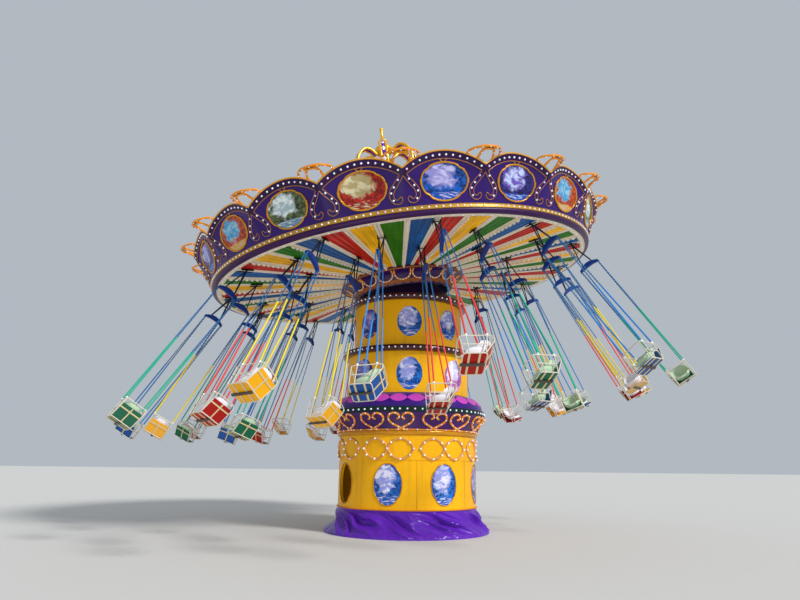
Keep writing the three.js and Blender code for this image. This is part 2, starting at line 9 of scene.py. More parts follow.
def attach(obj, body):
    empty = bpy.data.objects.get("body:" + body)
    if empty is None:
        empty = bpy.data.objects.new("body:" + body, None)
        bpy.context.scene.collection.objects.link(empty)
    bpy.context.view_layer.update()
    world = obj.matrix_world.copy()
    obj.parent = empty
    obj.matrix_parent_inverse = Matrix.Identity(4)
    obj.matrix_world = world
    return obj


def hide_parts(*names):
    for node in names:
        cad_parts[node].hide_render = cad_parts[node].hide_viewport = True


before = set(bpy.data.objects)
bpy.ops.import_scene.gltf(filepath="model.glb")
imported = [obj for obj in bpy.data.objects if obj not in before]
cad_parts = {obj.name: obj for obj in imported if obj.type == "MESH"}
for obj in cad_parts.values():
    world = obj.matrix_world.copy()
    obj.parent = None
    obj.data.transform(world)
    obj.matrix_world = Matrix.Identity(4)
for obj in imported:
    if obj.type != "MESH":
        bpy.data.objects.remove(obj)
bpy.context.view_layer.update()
scene = bpy.context.scene

# Viewpoint: eye height, thirteen metres in front of the tower, looking up at the canopy.
# The lens is the one that fits the round rims of tower and canopy in the photograph.
CAMERA_PLACE = Vector((0, -13, 1.303))
CAMERA_RIGHT = Vector((0.999875, 0.011476, 0.010868))
CAMERA_UP = Vector((-0.007353, -0.270918, 0.962574))
CAMERA_LENS = 26.43
lens = bpy.data.cameras.new("viewpoint")
lens.sensor_width = 36
lens.lens = CAMERA_LENS
lens.clip_end = 400
camera = bpy.data.objects.new("viewpoint", lens)
scene.collection.objects.link(camera)
turn = Matrix((CAMERA_RIGHT, CAMERA_UP, CAMERA_RIGHT.cross(CAMERA_UP))).transposed()
camera.matrix_world = Matrix.Translation(CAMERA_PLACE) @ turn.to_4x4()
scene.camera = camera


# Studio: pale floor, even pale surroundings, a soft key light from the front right and a weak
# fill from below, without shadows, that reaches the underside of the canopy.
def srgb(code):
    """Linear colour from a colour card's code, such as f8b800."""
    channels = (int(code[i:i + 2], 16) / 255 for i in (0, 2, 4))
    return tuple(c / 12.92 if c <= 0.04045 else ((c + 0.055) / 1.055) ** 2.4 for c in channels) + (1,)


def node(tree, kind, inputs=(), **settings):
    """Adds a node; each input is given a value or joined to another node's socket."""
    made = tree.nodes.new(kind)
    for name, value in settings.items():
        setattr(made, name, value)
    for key, value in dict(inputs).items():
        if isinstance(value, bpy.types.NodeSocket):
            tree.links.new(value, made.inputs[key])
        else:
            made.inputs[key].default_value = value
    return made


def new_material(name):
    """An empty node material: its tree and its Principled shader."""
    material = bpy.data.materials.new(name)
    material.use_nodes = True
    return material, material.node_tree, material.node_tree.nodes["Principled BSDF"]


floor_material, tree, shader = new_material("studio_floor")
shader.inputs["Base Color"].default_value = srgb("d2d0cb")
shader.inputs["Roughness"].default_value = 0.75
FLOOR_HALF = 150
FLOOR_DROP = 0.002
floor_mesh = bpy.data.meshes.new("studio_floor")
floor_corners = [(-FLOOR_HALF, -FLOOR_HALF), (FLOOR_HALF, -FLOOR_HALF),
                 (FLOOR_HALF, FLOOR_HALF), (-FLOOR_HALF, FLOOR_HALF)]
floor_mesh.from_pydata([(x, y, -FLOOR_DROP) for x, y in floor_corners], [], [(0, 1, 2, 3)])
floor_mesh.materials.append(floor_material)
studio_floor = bpy.data.objects.new("studio_floor", floor_mesh)
scene.collection.objects.link(studio_floor)

surroundings = bpy.data.worlds.new("studio")
surroundings.use_nodes = True
surroundings.node_tree.nodes["Background"].inputs["Color"].default_value = srgb("dfe8f2")
surroundings.node_tree.nodes["Background"].inputs["Strength"].default_value = 0.6
scene.world = surroundings
scene.view_settings.view_transform = "Standard"


def add_sun(name, energy, towards, angle, shadow=True):
    """A distant light that shines the way given; the wider its angle, the softer its shadows."""
    light = bpy.data.lights.new(name, "SUN")
    light.energy = energy
    light.angle = angle
    light.use_shadow = shadow
    sun = bpy.data.objects.new(name, light)
    sun.rotation_euler = Vector(towards).to_track_quat("-Z", "Y").to_euler()
    scene.collection.objects.link(sun)


add_sun("key", 3.0, (-0.6, 0.5, -0.55), angle=0.2)
add_sun("low_fill", 0.75, (0.1, 0.55, 0.6), angle=0.6, shadow=False)


# Skirt round the foot: fibreglass laid up in a mould, shaped like cloth drawn up to the drum in
# folds, and sprayed violet. It stands on a short upright hem and ends under the foot flange.
def shader_group(name, inputs, outputs):
    """A shader node group with named sockets: the tree, its inputs and its output node."""
    group = bpy.data.node_groups.new(name, "ShaderNodeTree")
    for label, kind, value in inputs:
        group.interface.new_socket(label, in_out="INPUT", socket_type=kind).default_value = value
    for label, kind in outputs:
        group.interface.new_socket(label, in_out="OUTPUT", socket_type=kind)
    given = group.nodes.new("NodeGroupInput")
    return group, given.outputs, group.nodes.new("NodeGroupOutput")


FLOAT = "NodeSocketFloat"
COLOUR = "NodeSocketColor"

# Sprayed paint: tone drifts over a metre or so, rain streaks run down, and a fine orange peel
sprayed_paint, given, result = shader_group(
    "sprayed_paint",
    [("Colour", COLOUR, (0.5, 0.5, 0.5, 1)), ("Drift", FLOAT, 0.15), ("Streaks", FLOAT, 0.2),
     ("Gloss", FLOAT, 0.4), ("Peel", FLOAT, 70)],
    [("Colour", COLOUR), ("Roughness", FLOAT), ("Height", FLOAT)])
coords = node(sprayed_paint, "ShaderNodeTexCoord").outputs["Object"]
cloud = node(sprayed_paint, "ShaderNodeTexNoise", {"Vector": coords, "Scale": 1.1, "Detail": 5})
drift = node(sprayed_paint, "ShaderNodeMath", {0: cloud.outputs["Fac"], 1: 0.5}, operation="SUBTRACT")
drift = node(sprayed_paint, "ShaderNodeMath", {0: drift.outputs[0], 1: given["Drift"]}, operation="MULTIPLY")
value = node(sprayed_paint, "ShaderNodeMath", {0: drift.outputs[0], 1: 4, 2: 1}, operation="MULTIPLY_ADD")
toned = node(sprayed_paint, "ShaderNodeHueSaturation", {"Color": given["Colour"], "Value": value.outputs[0]})
long_coords = node(sprayed_paint, "ShaderNodeMapping", {"Vector": coords, "Scale": (11, 11, 0.7)})
rain = node(sprayed_paint, "ShaderNodeTexNoise", {"Vector": long_coords.outputs[0], "Scale": 1, "Detail": 4})
streak = node(sprayed_paint, "ShaderNodeMapRange", {"Value": rain.outputs["Fac"], 1: 0.5, 2: 0.75, 3: 0})
tree_links = sprayed_paint.links
tree_links.new(given["Streaks"], streak.inputs[4])
dirty = node(sprayed_paint, "ShaderNodeMix",
             {0: streak.outputs[0], 6: toned.outputs[0], 7: srgb("3a3128")}, data_type="RGBA")
tree_links.new(dirty.outputs[2], result.inputs["Colour"])
rough = node(sprayed_paint, "ShaderNodeMath",
             {0: cloud.outputs["Fac"], 1: 0.25, 2: given["Gloss"]}, operation="MULTIPLY_ADD")
rough = node(sprayed_paint, "ShaderNodeMath", {0: rough.outputs[0], 1: 0.12}, operation="SUBTRACT")
tree_links.new(rough.outputs[0], result.inputs["Roughness"])
peel = node(sprayed_paint, "ShaderNodeTexNoise", {"Vector": coords, "Scale": given["Peel"], "Detail": 2})
tree_links.new(peel.outputs["Fac"], result.inputs["Height"])


def paint(name, code, drift=0.14, streaks=0.12, gloss=0.36, peel=60, bump=0.06, coat=0.0, metallic=0.0):
    """Material of sprayed paint in a colour-card colour."""
    material, tree, shader = new_material(name)
    spray = node(tree, "ShaderNodeGroup", node_tree=sprayed_paint)
    values = {"Colour": srgb(code), "Drift": drift, "Streaks": streaks, "Gloss": gloss, "Peel": peel}
    for label, value in values.items():
        spray.inputs[label].default_value = value
    relief = node(tree, "ShaderNodeBump",
                  {"Height": spray.outputs["Height"], "Strength": bump, "Distance": 0.01})
    tree.links.new(spray.outputs["Colour"], shader.inputs["Base Color"])
    tree.links.new(spray.outputs["Roughness"], shader.inputs["Roughness"])
    tree.links.new(relief.outputs[0], shader.inputs["Normal"])
    shader.inputs["Metallic"].default_value = metallic
    shader.inputs["Specular IOR Level"].default_value = 0.22
    shader.inputs["Coat Weight"].default_value = coat
    shader.inputs["Coat Roughness"].default_value = 0.12
    return material


def shaded(mesh, crease=35):
    """Smooth shading that stays crisp at real edges, with the faces turned outwards."""
    work = bmesh.new()
    work.from_mesh(mesh)
    bmesh.ops.remove_doubles(work, verts=work.verts, dist=1e-5)
    bmesh.ops.recalc_face_normals(work, faces=work.faces)
    work.to_mesh(mesh)
    work.free()
    mesh.polygons.foreach_set("use_smooth", [True] * len(mesh.polygons))
    mesh.set_sharp_from_angle(angle=math.radians(crease))
    return mesh


def piece(mesh, body, slot, *stands_for, materials=()):
    """Puts a finished mesh in the ride, on the body it rides on, and hides the solids it stands for. The slot
    is not used.
    """
    for material in materials:
        mesh.materials.append(material)
    made = bpy.data.objects.new(mesh.name, mesh)
    scene.collection.objects.link(made)
    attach(made, body)
    if stands_for:
        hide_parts(*stands_for)
    return made


def turned(name, outline, sides, shape=None):
    """A closed ring turned about the axis from its [radius, height] outline; shape may move a corner."""
    points = []
    for side in range(sides):
        angle = 2 * math.pi * side / sides
        for r, z in outline:
            if shape:
                r, z = shape(angle, r, z)
            points.append((r * math.cos(angle), r * math.sin(angle), z))
    count = len(outline)
    faces = []
    for side in range(sides):
        after = (side + 1) % sides
        for k in range(count):
            up = (k + 1) % count
            faces.append((side * count + k, after * count + k, after * count + up, side * count + up))
    mesh = bpy.data.meshes.new(name)
    mesh.from_pydata(points, [], faces)
    return shaded(mesh)


def eased(points, steps):
    """Points on a smooth line through the given ones."""
    ends = [points[0]] + list(points) + [points[-1]]
    smooth = []
    for k in range(1, len(ends) - 2):
        a, b, c, d = (Vector(p) for p in ends[k - 1:k + 3])
        for s in range(steps):
            t = s / steps
            square = (2 * a - 5 * b + 4 * c - d) * t ** 2
            cube = (3 * b - a - 3 * c + d) * t ** 3
            smooth.append(0.5 * (2 * b + (c - a) * t + square + cube))
    smooth.append(Vector(points[-1]))
    return smooth


SKIRT_SIDES = 300
SKIRT_TOP = 0.478
SKIRT_UNDERSIDE = 0.034
SKIRT_INNER_R = 1.608
FOOT_BORE = 1.3
FOLDS_FROM_R = 1.42
FOLDS_LOW = 0.02
FOLDS_SPAN = 0.44
FOLD_SLANT = 1.2
FOLD_WANDER = 0.16
FOLD_SCALE = 5.2
FOLD_DEPTH = 0.1
CREASE_SCALE = 9
CREASE_DEPTH = 0.03
CREST = 2.8
HEM_TOP = 0.07
HEM_WAVES = 64
HEM_WAVE = 0.006


def skirt_folds(angle, r, z):
    """Slanting folds that are deepest half-way down and fade at the drum and the hem."""
    if r < FOLDS_FROM_R:
        return r, z
    reach = math.sin(math.pi * min(1, max(0, (z - FOLDS_LOW) / FOLDS_SPAN))) ** 0.7
    bend = noise.noise(Vector((3 * math.cos(angle), 3 * math.sin(angle), 2 * z)))
    slanted = angle + FOLD_SLANT * z + FOLD_WANDER * bend
    around = Vector((math.cos(slanted), math.sin(slanted), 0))
    ridge = 1 - abs(noise.noise(around * FOLD_SCALE + Vector((4, 0, z * 1.6)))) * CREST
    crease = 1 - abs(noise.noise(around * CREASE_SCALE + Vector((0, 9, z * 2)))) * CREST
    hem = HEM_WAVE * math.sin(angle * HEM_WAVES) if z < HEM_TOP else 0
    return r + reach * (FOLD_DEPTH * (ridge - 0.5) + CREASE_DEPTH * (crease - 0.5)) + hem, z


skirt_side = [(1.69, 0.0), (1.692, 0.035), (1.672, HEM_TOP), (1.64, 0.1), (1.6, 0.14), (1.565, 0.18),
              (1.535, 0.22), (1.51, 0.26), (1.49, 0.3), (1.474, 0.34), (1.46, 0.38), (1.449, 0.42),
              (1.44, 0.455), (1.436, SKIRT_TOP)]
skirt_back = [(FOOT_BORE, SKIRT_TOP), (FOOT_BORE, SKIRT_UNDERSIDE), (SKIRT_INNER_R, SKIRT_UNDERSIDE),
              (SKIRT_INNER_R, 0.0)]
violet_paint = paint("violet_gelcoat", "5e24ac", drift=0.1, streaks=0.08, gloss=0.3, peel=16,
                     bump=0.1, coat=0.1)
skirt = turned("skirt_folds", eased(skirt_side, 3) + skirt_back, SKIRT_SIDES, shape=skirt_folds)
piece(skirt, "base", "purple_paint", "skirt", materials=[violet_paint])

# Foot flange: a steel ring with a rounded edge, rolled and painted orange. It covers the joint
# between skirt and drum.
FLANGE_EDGE = [(FOOT_BORE, 0.4783), (1.452, 0.4783), (1.464, 0.484), (1.466, 0.49), (1.462, 0.496),
               (1.452, 0.5), (FOOT_BORE, 0.5)]
WALL_SIDES = 144
orange_paint = paint("orange_trim", "d98410", streaks=0.2, gloss=0.4)
foot_ring = turned("foot_ring", FLANGE_EDGE, WALL_SIDES)
piece(foot_ring, "base", "orange_paint", "foot_flange", materials=[orange_paint])

# Drum: eight panels of steel sheet, bent and joined edge to edge, golden yellow. Seven carry a
# picture; the eighth has an oval service hatch that stands open on the dark inside.
DRUM_R = 1.432
DRUM_LOW = 0.5003
DRUM_HIGH = 1.4
DRUM_WALL = 0.052
DRUM_PANELS = 8
HATCH_AT = -60
PUNCH_DEPTH = 0.6
OVAL_W = 0.28
OVAL_H = 0.38
OVAL_SIDES = 64
DRUM_OVAL_Z = 0.95


def flat_ring(r_in, r_out, low, high):
    """Outline of a plain upright wall."""
    return [(r_in, low), (r_out, low), (r_out, high), (r_in, high)]


def evaluated(carrier, name):
    """The plain mesh that an object with live modifiers shows; the object goes."""
    depsgraph = bpy.context.evaluated_depsgraph_get()
    mesh = bpy.data.meshes.new_from_object(carrier.evaluated_get(depsgraph), preserve_all_data_layers=True,
                                           depsgraph=depsgraph)
    bpy.data.objects.remove(carrier)
    mesh.name = name
    return mesh


yellow_paint = paint("yellow_sheet", "efae04", drift=0.12, streaks=0.14, gloss=0.36, peel=90, bump=0.06)
wall = turned("drum", flat_ring(DRUM_R - DRUM_WALL, DRUM_R, DRUM_LOW, DRUM_HIGH), WALL_SIDES)
carrier = bpy.data.objects.new("drum", wall)
scene.collection.objects.link(carrier)
punch_mesh = bpy.data.meshes.new("hatch_punch")
work = bmesh.new()
bmesh.ops.create_cone(work, segments=OVAL_SIDES, radius1=1, radius2=1, depth=1, cap_ends=True)
to_hatch = Matrix.Rotation(math.radians(HATCH_AT), 4, "Z") @ Matrix.Translation((0, -DRUM_R, DRUM_OVAL_Z))
punch_size = Matrix.Diagonal((OVAL_W, PUNCH_DEPTH, OVAL_H, 1))
punch_place = to_hatch @ punch_size @ Matrix.Rotation(math.pi / 2, 4, "X")
bmesh.ops.transform(work, matrix=punch_place, verts=work.verts)
work.to_mesh(punch_mesh)
work.free()
punch = bpy.data.objects.new("hatch_punch", punch_mesh)
scene.collection.objects.link(punch)
cut = carrier.modifiers.new("hatch", "BOOLEAN")
cut.object = punch
cut.operation = "DIFFERENCE"
cut.solver = "EXACT"
drum = evaluated(carrier, "drum")
bpy.data.objects.remove(punch)
piece(shaded(drum), "base", "yellow_paint", "drum_wall", materials=[yellow_paint])


# Pictures on the tower: printed sheets, varnished and glued to the wall, in thin gold frames on
# the drum. Each shows a made-up view of sky, hills, water and trees; three colourings take turns.
def geometry_tree(name, inputs):
    """A Geometry Nodes tree: its group, its given inputs after the geometry, and its output node."""
    group = bpy.data.node_groups.new(name, "GeometryNodeTree")
    group.interface.new_socket("Geometry", in_out="INPUT", socket_type="NodeSocketGeometry")
    for label, kind, value in inputs:
        made = group.interface.new_socket(label, in_out="INPUT", socket_type=kind)
        if value is not None:
            made.default_value = value
    group.interface.new_socket("Geometry", in_out="OUTPUT", socket_type="NodeSocketGeometry")
    given = group.nodes.new("NodeGroupInput")
    return group, given.outputs, group.nodes.new("NodeGroupOutput")


def close_tree(tree, geometry, given, result):
    """Ends a tree: real geometry, smooth faces and one finish."""
    real = node(tree, "GeometryNodeRealizeInstances", {"Geometry": geometry})
    smooth = node(tree, "GeometryNodeSetShadeSmooth", {"Geometry": real.outputs[0]})
    finish = node(tree, "GeometryNodeSetMaterial",
                  {"Geometry": smooth.outputs[0], "Material": given["Finish"]})
    tree.links.new(finish.outputs[0], result.inputs[0])


def grown(name, mesh, tree, **inputs):
    """The plain mesh that a Geometry Nodes tree makes of another mesh."""
    carrier = bpy.data.objects.new(name, mesh)
    scene.collection.objects.link(carrier)
    modifier = carrier.modifiers.new(name, "NODES")
    modifier.node_group = tree
    for item in tree.interface.items_tree:
        if item.in_out == "INPUT" and item.name in inputs:
            modifier[item.identifier] = inputs[item.name]
    return evaluated(carrier, name)


INT = "NodeSocketInt"
FINISH = ("Finish", "NodeSocketMaterial", None)

# Bends rod or rope along lines; strands that are hollowed and twisted make a rope
rod_on_lines, given, result = geometry_tree("rod_on_lines", [
    ("Radius", FLOAT, 0.01), ("Hollow", FLOAT, 0), ("Twist", FLOAT, 0), ("Step", FLOAT, 0.05),
    ("Strands", INT, 4), FINISH])
line = node(rod_on_lines, "GeometryNodeMeshToCurve", {"Mesh": given["Geometry"]})
even = node(rod_on_lines, "GeometryNodeResampleCurve",
            {"Curve": line.outputs[0], "Length": given["Step"]}, mode="LENGTH")
along = node(rod_on_lines, "GeometryNodeSplineParameter")
wind = node(rod_on_lines, "ShaderNodeMath",
            {0: along.outputs["Length"], 1: given["Twist"]}, operation="MULTIPLY")
wound = node(rod_on_lines, "GeometryNodeSetCurveTilt", {"Curve": even.outputs[0], "Tilt": wind.outputs[0]})
inner = node(rod_on_lines, "ShaderNodeMath", {0: 1, 1: given["Hollow"]}, operation="SUBTRACT")
inner = node(rod_on_lines, "ShaderNodeMath", {0: inner.outputs[0], 1: given["Radius"]}, operation="MULTIPLY")
star = {"Points": given["Strands"], "Inner Radius": inner.outputs[0], "Outer Radius": given["Radius"]}
section = node(rod_on_lines, "GeometryNodeCurveStar", star)
rod = node(rod_on_lines, "GeometryNodeCurveToMesh",
           {"Curve": wound.outputs[0], "Profile Curve": section.outputs[0], "Fill Caps": True})
close_tree(rod_on_lines, rod.outputs[0], given, result)


def lines(name, paths, closed=False):
    """A mesh of edges along each path, for rod or rope to follow."""
    points, edges = [], []
    for path in paths:
        first = len(points)
        points += [tuple(p) for p in path]
        edges += [(k, k + 1) for k in range(first, len(points) - 1)]
        if closed:
            edges.append((len(points) - 1, first))
    mesh = bpy.data.meshes.new(name)
    mesh.from_pydata(points, edges, [])
    return mesh


def rods(name, paths, radius, finish, closed=False, **rope):
    """Rod, or twisted rope, along each path."""
    return grown(name, lines(name, paths, closed), rod_on_lines, Radius=radius, Finish=finish, **rope)


def joined(name, *meshes):
    """One mesh out of several, each with the materials that it came with."""
    parts = [bpy.data.objects.new(name, mesh) for mesh in meshes]
    for part in parts:
        scene.collection.objects.link(part)
    with bpy.context.temp_override(active_object=parts[0], selected_editable_objects=parts):
        bpy.ops.object.join()
    mesh = parts[0].data
    bpy.data.objects.remove(parts[0])
    mesh.name = name
    return mesh


def finished(mesh, material):
    """The mesh with its finish on it."""
    mesh.materials.append(material)
    return mesh


def on_wall(radius, at_z=0.0, at=0.0):
    """Lays flat places (across, up, proud) on a turned wall, so many degrees round from the front."""
    def lay(x, y, proud=0.0):
        r = radius(at_z + y) if callable(radius) else radius
        angle = math.radians(at) + x / r
        r += proud
        return Vector((r * math.sin(angle), -r * math.cos(angle), at_z + y))
    return lay


NOTCH_DEPTH = 0.05
NOTCH_HALF_DEG = 6


def notched_oval(half_w, half_h, count=OVAL_SIDES):
    """Oval outline with a small notch between its top, bottom and side lobes."""
    outline = []
    for k in range(count):
        angle = 2 * math.pi * k / count
        off = abs(math.degrees(angle) % 90 - 45)
        size = 1 - NOTCH_DEPTH * math.exp(-(off / NOTCH_HALF_DEG) ** 2)
        outline.append((half_w * size * math.cos(angle), half_h * size * math.sin(angle)))
    return outline


def sheet_inside(name, outline, lay, proud, rings=5, depth=0.006):
    """A thin closed sheet laid inside an outline, with its own UV map from 0 to 1."""
    half_w = max(x for x, _ in outline)
    half_h = max(y for _, y in outline)
    flat = [(0.0, 0.0)] + [(x * k / rings, y * k / rings) for k in range(1, rings + 1) for x, y in outline]
    count = len(outline)
    back = len(flat)
    front = []
    for k in range(count):
        after = (k + 1) % count
        front.append((0, 1 + k, 1 + after))
        for ring in range(rings - 1):
            a, b = 1 + ring * count, 1 + (ring + 1) * count
            front.append((a + k, b + k, b + after, a + after))
    rim = back - count
    sides = []
    for k in range(count):
        after = (k + 1) % count
        sides.append((rim + k, rim + after, back + rim + after, back + rim + k))
    faces = front + [tuple(back + corner for corner in face) for face in front] + sides
    mesh = bpy.data.meshes.new(name)
    mesh.from_pydata([lay(x, y, p) for p in (proud, proud - depth) for x, y in flat], [], faces)
    uv = mesh.uv_layers.new(name="picture")
    for loop in mesh.loops:
        x, y = flat[loop.vertex_index % back]
        uv.data[loop.index].uv = (0.5 + 0.5 * x / half_w, 0.5 + 0.5 * y / half_h)
    return shaded(mesh)


# Painter's view: an opening onto clouds and hills, leaves all round it, water with long glints
painted_view, given, result = shader_group(
    "painted_view",
    [("Sky", COLOUR, (1, 1, 1, 1)), ("Cloud", COLOUR, (1, 1, 1, 1)), ("Ridge", COLOUR, (1, 1, 1, 1)),
     ("Water", COLOUR, (1, 1, 1, 1)), ("Leaves", COLOUR, (1, 1, 1, 1)), ("Opening", FLOAT, 0.55)],
    [("Colour", COLOUR), ("Roughness", FLOAT)])
OPENING_AT = (0.42, 0.64, 0)


def view_noise(scale, stretch, detail, shift):
    """Noise over the picture, drawn out level or upright."""
    coords = node(painted_view, "ShaderNodeTexCoord").outputs["Object"]
    moved = node(painted_view, "ShaderNodeMapping",
                 {"Vector": coords, "Location": (shift, shift, 0), "Scale": stretch})
    fine = {"Vector": moved.outputs[0], "Scale": scale, "Detail": detail, "Distortion": 0.8}
    return node(painted_view, "ShaderNodeTexNoise", fine).outputs["Fac"]


def blended(mask, under, over):
    """One colour over another where the mask is 1."""
    return node(painted_view, "ShaderNodeMix", {0: mask, 6: under, 7: over}, data_type="RGBA").outputs[2]


def spread(source, low, high, to_low=0.0, to_high=1.0):
    """Maps a value between two limits onto a range, from 0 to 1 unless given."""
    return node(painted_view, "ShaderNodeMapRange",
                {"Value": source, 1: low, 2: high, 3: to_low, 4: to_high}).outputs[0]


def maths(kind, a, b):
    """Two values added, subtracted or multiplied."""
    return node(painted_view, "ShaderNodeMath", {0: a, 1: b}, operation=kind).outputs[0]


flat_place = node(painted_view, "ShaderNodeUVMap", uv_map="picture").outputs[0]
up = node(painted_view, "ShaderNodeSeparateXYZ", {0: flat_place}).outputs["Y"]
sky = blended(spread(view_noise(6, (1, 1, 1.6), 5, 0), 0.46, 0.6), given["Sky"], given["Cloud"])
from_opening = node(painted_view, "ShaderNodeVectorMath", {0: flat_place, 1: OPENING_AT},
                    operation="DISTANCE").outputs["Value"]
opening_edge = maths("ADD", from_opening, maths("MULTIPLY", view_noise(7, (1, 1, 1), 6, 4), 0.55))
ridge_line = maths("ADD", maths("MULTIPLY", view_noise(5, (1, 1, 0.05), 4, 5), 0.5), 0.1)
hills = blended(spread(view_noise(12, (1, 1, 1), 5, 2), 0.4, 0.68), given["Ridge"], given["Cloud"])
view = blended(spread(maths("SUBTRACT", ridge_line, up), -0.03, 0.05), sky, hills)
foliage = blended(spread(view_noise(16, (1, 1, 1.4), 6, 7), 0.42, 0.58), given["Ridge"], given["Leaves"])
view = blended(spread(maths("SUBTRACT", opening_edge, given["Opening"]), -0.05, 0.05), view, foliage)
shore = maths("ADD", maths("MULTIPLY", view_noise(4, (1, 1, 0.05), 2, 9), 0.16), 0.12)
glints = blended(spread(view_noise(8, (1, 1, 6), 4, 3), 0.52, 0.64), given["Water"], given["Cloud"])
view = blended(spread(maths("SUBTRACT", shore, up), -0.02, 0.02), view, glints)
painted_view.links.new(view, result.inputs["Colour"])
gloss = spread(view_noise(40, (1, 1, 1), 3, 1), 0.3, 0.7, 0.16, 0.3)
painted_view.links.new(gloss, result.inputs["Roughness"])


def picture(name, opening, **colours):
    """Material of a printed view in the given colours; opening is how far the leaves stand apart."""
    material, tree, shader = new_material(name)
    view = node(tree, "ShaderNodeGroup", node_tree=painted_view)
    for label, code in colours.items():
        view.inputs[label].default_value = srgb(code)
    view.inputs["Opening"].default_value = opening
    tree.links.new(view.outputs["Colour"], shader.inputs["Base Color"])
    tree.links.new(view.outputs["Roughness"], shader.inputs["Roughness"])
    shader.inputs["Specular IOR Level"].default_value = 0.25
    shader.inputs["Coat Weight"].default_value = 0.1
    shader.inputs["Coat Roughness"].default_value = 0.1
    return material


PICTURE_PITCH = 360 / DRUM_PANELS
TOWER_OPENING = 0.61
BLOSSOM_OPENING = 0.64
TOWER_VIEWS = (
    picture("lake_view", TOWER_OPENING, Sky="8c94d6", Cloud="dedcf2", Ridge="1c6cc4", Water="0450ac",
            Leaves="0a2c74"),
    picture("dusk_view", TOWER_OPENING, Sky="6c64b4", Cloud="c0b0dc", Ridge="2a449c", Water="163c88",
            Leaves="200e44"),
    picture("blossom_view", BLOSSOM_OPENING, Sky="c0c4e2", Cloud="ece4f0", Ridge="bc64a4", Water="cc88b8",
            Leaves="7c44a0"),
)
gold_trim = paint("gold_trim", "c98a20", drift=0.1, streaks=0.1, gloss=0.26, peel=120, bump=0.04,
                  metallic=0.35)


def ovals(name, body, radius, at_z, half_w, half_h, first, kinds):
    """Printed sheets round a wall; kinds says which view hangs where, None where there is none."""
    outline = notched_oval(half_w, half_h)
    sheets = []
    for k, kind in enumerate(kinds):
        if kind is not None:
            lay = on_wall(radius, at_z, first + PICTURE_PITCH * k)
            sheets.append(finished(sheet_inside("sheet", outline, lay, 0.005), TOWER_VIEWS[kind]))
    piece(joined(name, *sheets), body, "cream_paint")


FIRST_OVAL = -15
FRAME_LAP = 0.004
FRAME_TUBE_R = 0.011
ovals("drum_pictures", "base", DRUM_R, DRUM_OVAL_Z, OVAL_W, OVAL_H, FIRST_OVAL, (0, 0, 1, 2, 0, 1, 2, None))
frame_outline = notched_oval(OVAL_W + FRAME_LAP, OVAL_H + FRAME_LAP)
drum_spots = [on_wall(DRUM_R, DRUM_OVAL_Z, FIRST_OVAL + PICTURE_PITCH * k) for k in range(DRUM_PANELS)]
frame_paths = [[lay(x, y, FRAME_LAP) for x, y in frame_outline] for lay in drum_spots]
drum_frames = rods("drum_frames", frame_paths, FRAME_TUBE_R, gold_trim, closed=True, Step=0.03)
piece(drum_frames, "base", "gold_paint")

# Drum seams: where the eight panels meet they are sealed with a bead of darker mastic, drawn from
# the flange up to the rope band.
SEAL_R = 0.0045
SEAL_INSET = 0.004
seal = paint("seam_seal", "c4860c", streaks=0.2, gloss=0.5)
seam_spots = [on_wall(DRUM_R, 0, FIRST_OVAL + PICTURE_PITCH * (k + 0.5)) for k in range(DRUM_PANELS)]
seam_paths = [[lay(0, DRUM_LOW + SEAL_INSET), lay(0, DRUM_HIGH - SEAL_INSET)] for lay in seam_spots]
piece(rods("drum_seams", seam_paths, SEAL_R, seal, Step=0.3), "base", "yellow_paint")

# Rope band: a ring of the same yellow sheet on top of the drum. Sixteen rings of gilded rope,
# drawn to a point at the sides and set in pairs, are fixed round it, each with eight lamps.
ROPE_BAND_R = 1.446
ROPE_BAND_LOW = 1.4003
ROPE_BAND_TOP = 1.87
ROPE_RING_Z = 1.61
ROPE_RING_W = 0.25
ROPE_RING_H = 0.19
ROPE_RING_SHARP = 1.45
ROPE_RING_STEPS = 48
ROPE_R = 0.026
RING_LAMPS = 8
PAIR_OFF = 10
rope_gilt = paint("rope_gilt", "dc9e54", drift=0.1, streaks=0.05, gloss=0.4, peel=200, bump=0.1)
band_side = flat_ring(DRUM_R - DRUM_WALL, ROPE_BAND_R, ROPE_BAND_LOW, ROPE_BAND_TOP)
band = turned("rope_band", band_side, WALL_SIDES)
piece(band, "base", "yellow_paint", "rope_band", materials=[yellow_paint])

lamp_cap, tree, shader = new_material("lamp_cap")
tint = node(tree, "ShaderNodeAttribute", attribute_name="tint")
ramp = node(tree, "ShaderNodeValToRGB", {0: tint.outputs["Fac"]})
ramp.color_ramp.interpolation = "CONSTANT"
ramp.color_ramp.elements[0].color = srgb("f0f3f8")
ramp.color_ramp.elements[1].position = 0.62
ramp.color_ramp.elements[1].color = srgb("d6c4fa")
ramp.color_ramp.elements.new(0.75).color = srgb("f0d4ee")
ramp.color_ramp.elements.new(0.87).color = srgb("cfeadf")
for socket in ("Base Color", "Emission Color"):
    tree.links.new(ramp.outputs[0], shader.inputs[socket])
shader.inputs["Emission Strength"].default_value = 0.14
shader.inputs["Roughness"].default_value = 0.22
shader.inputs["Coat Weight"].default_value = 0.4

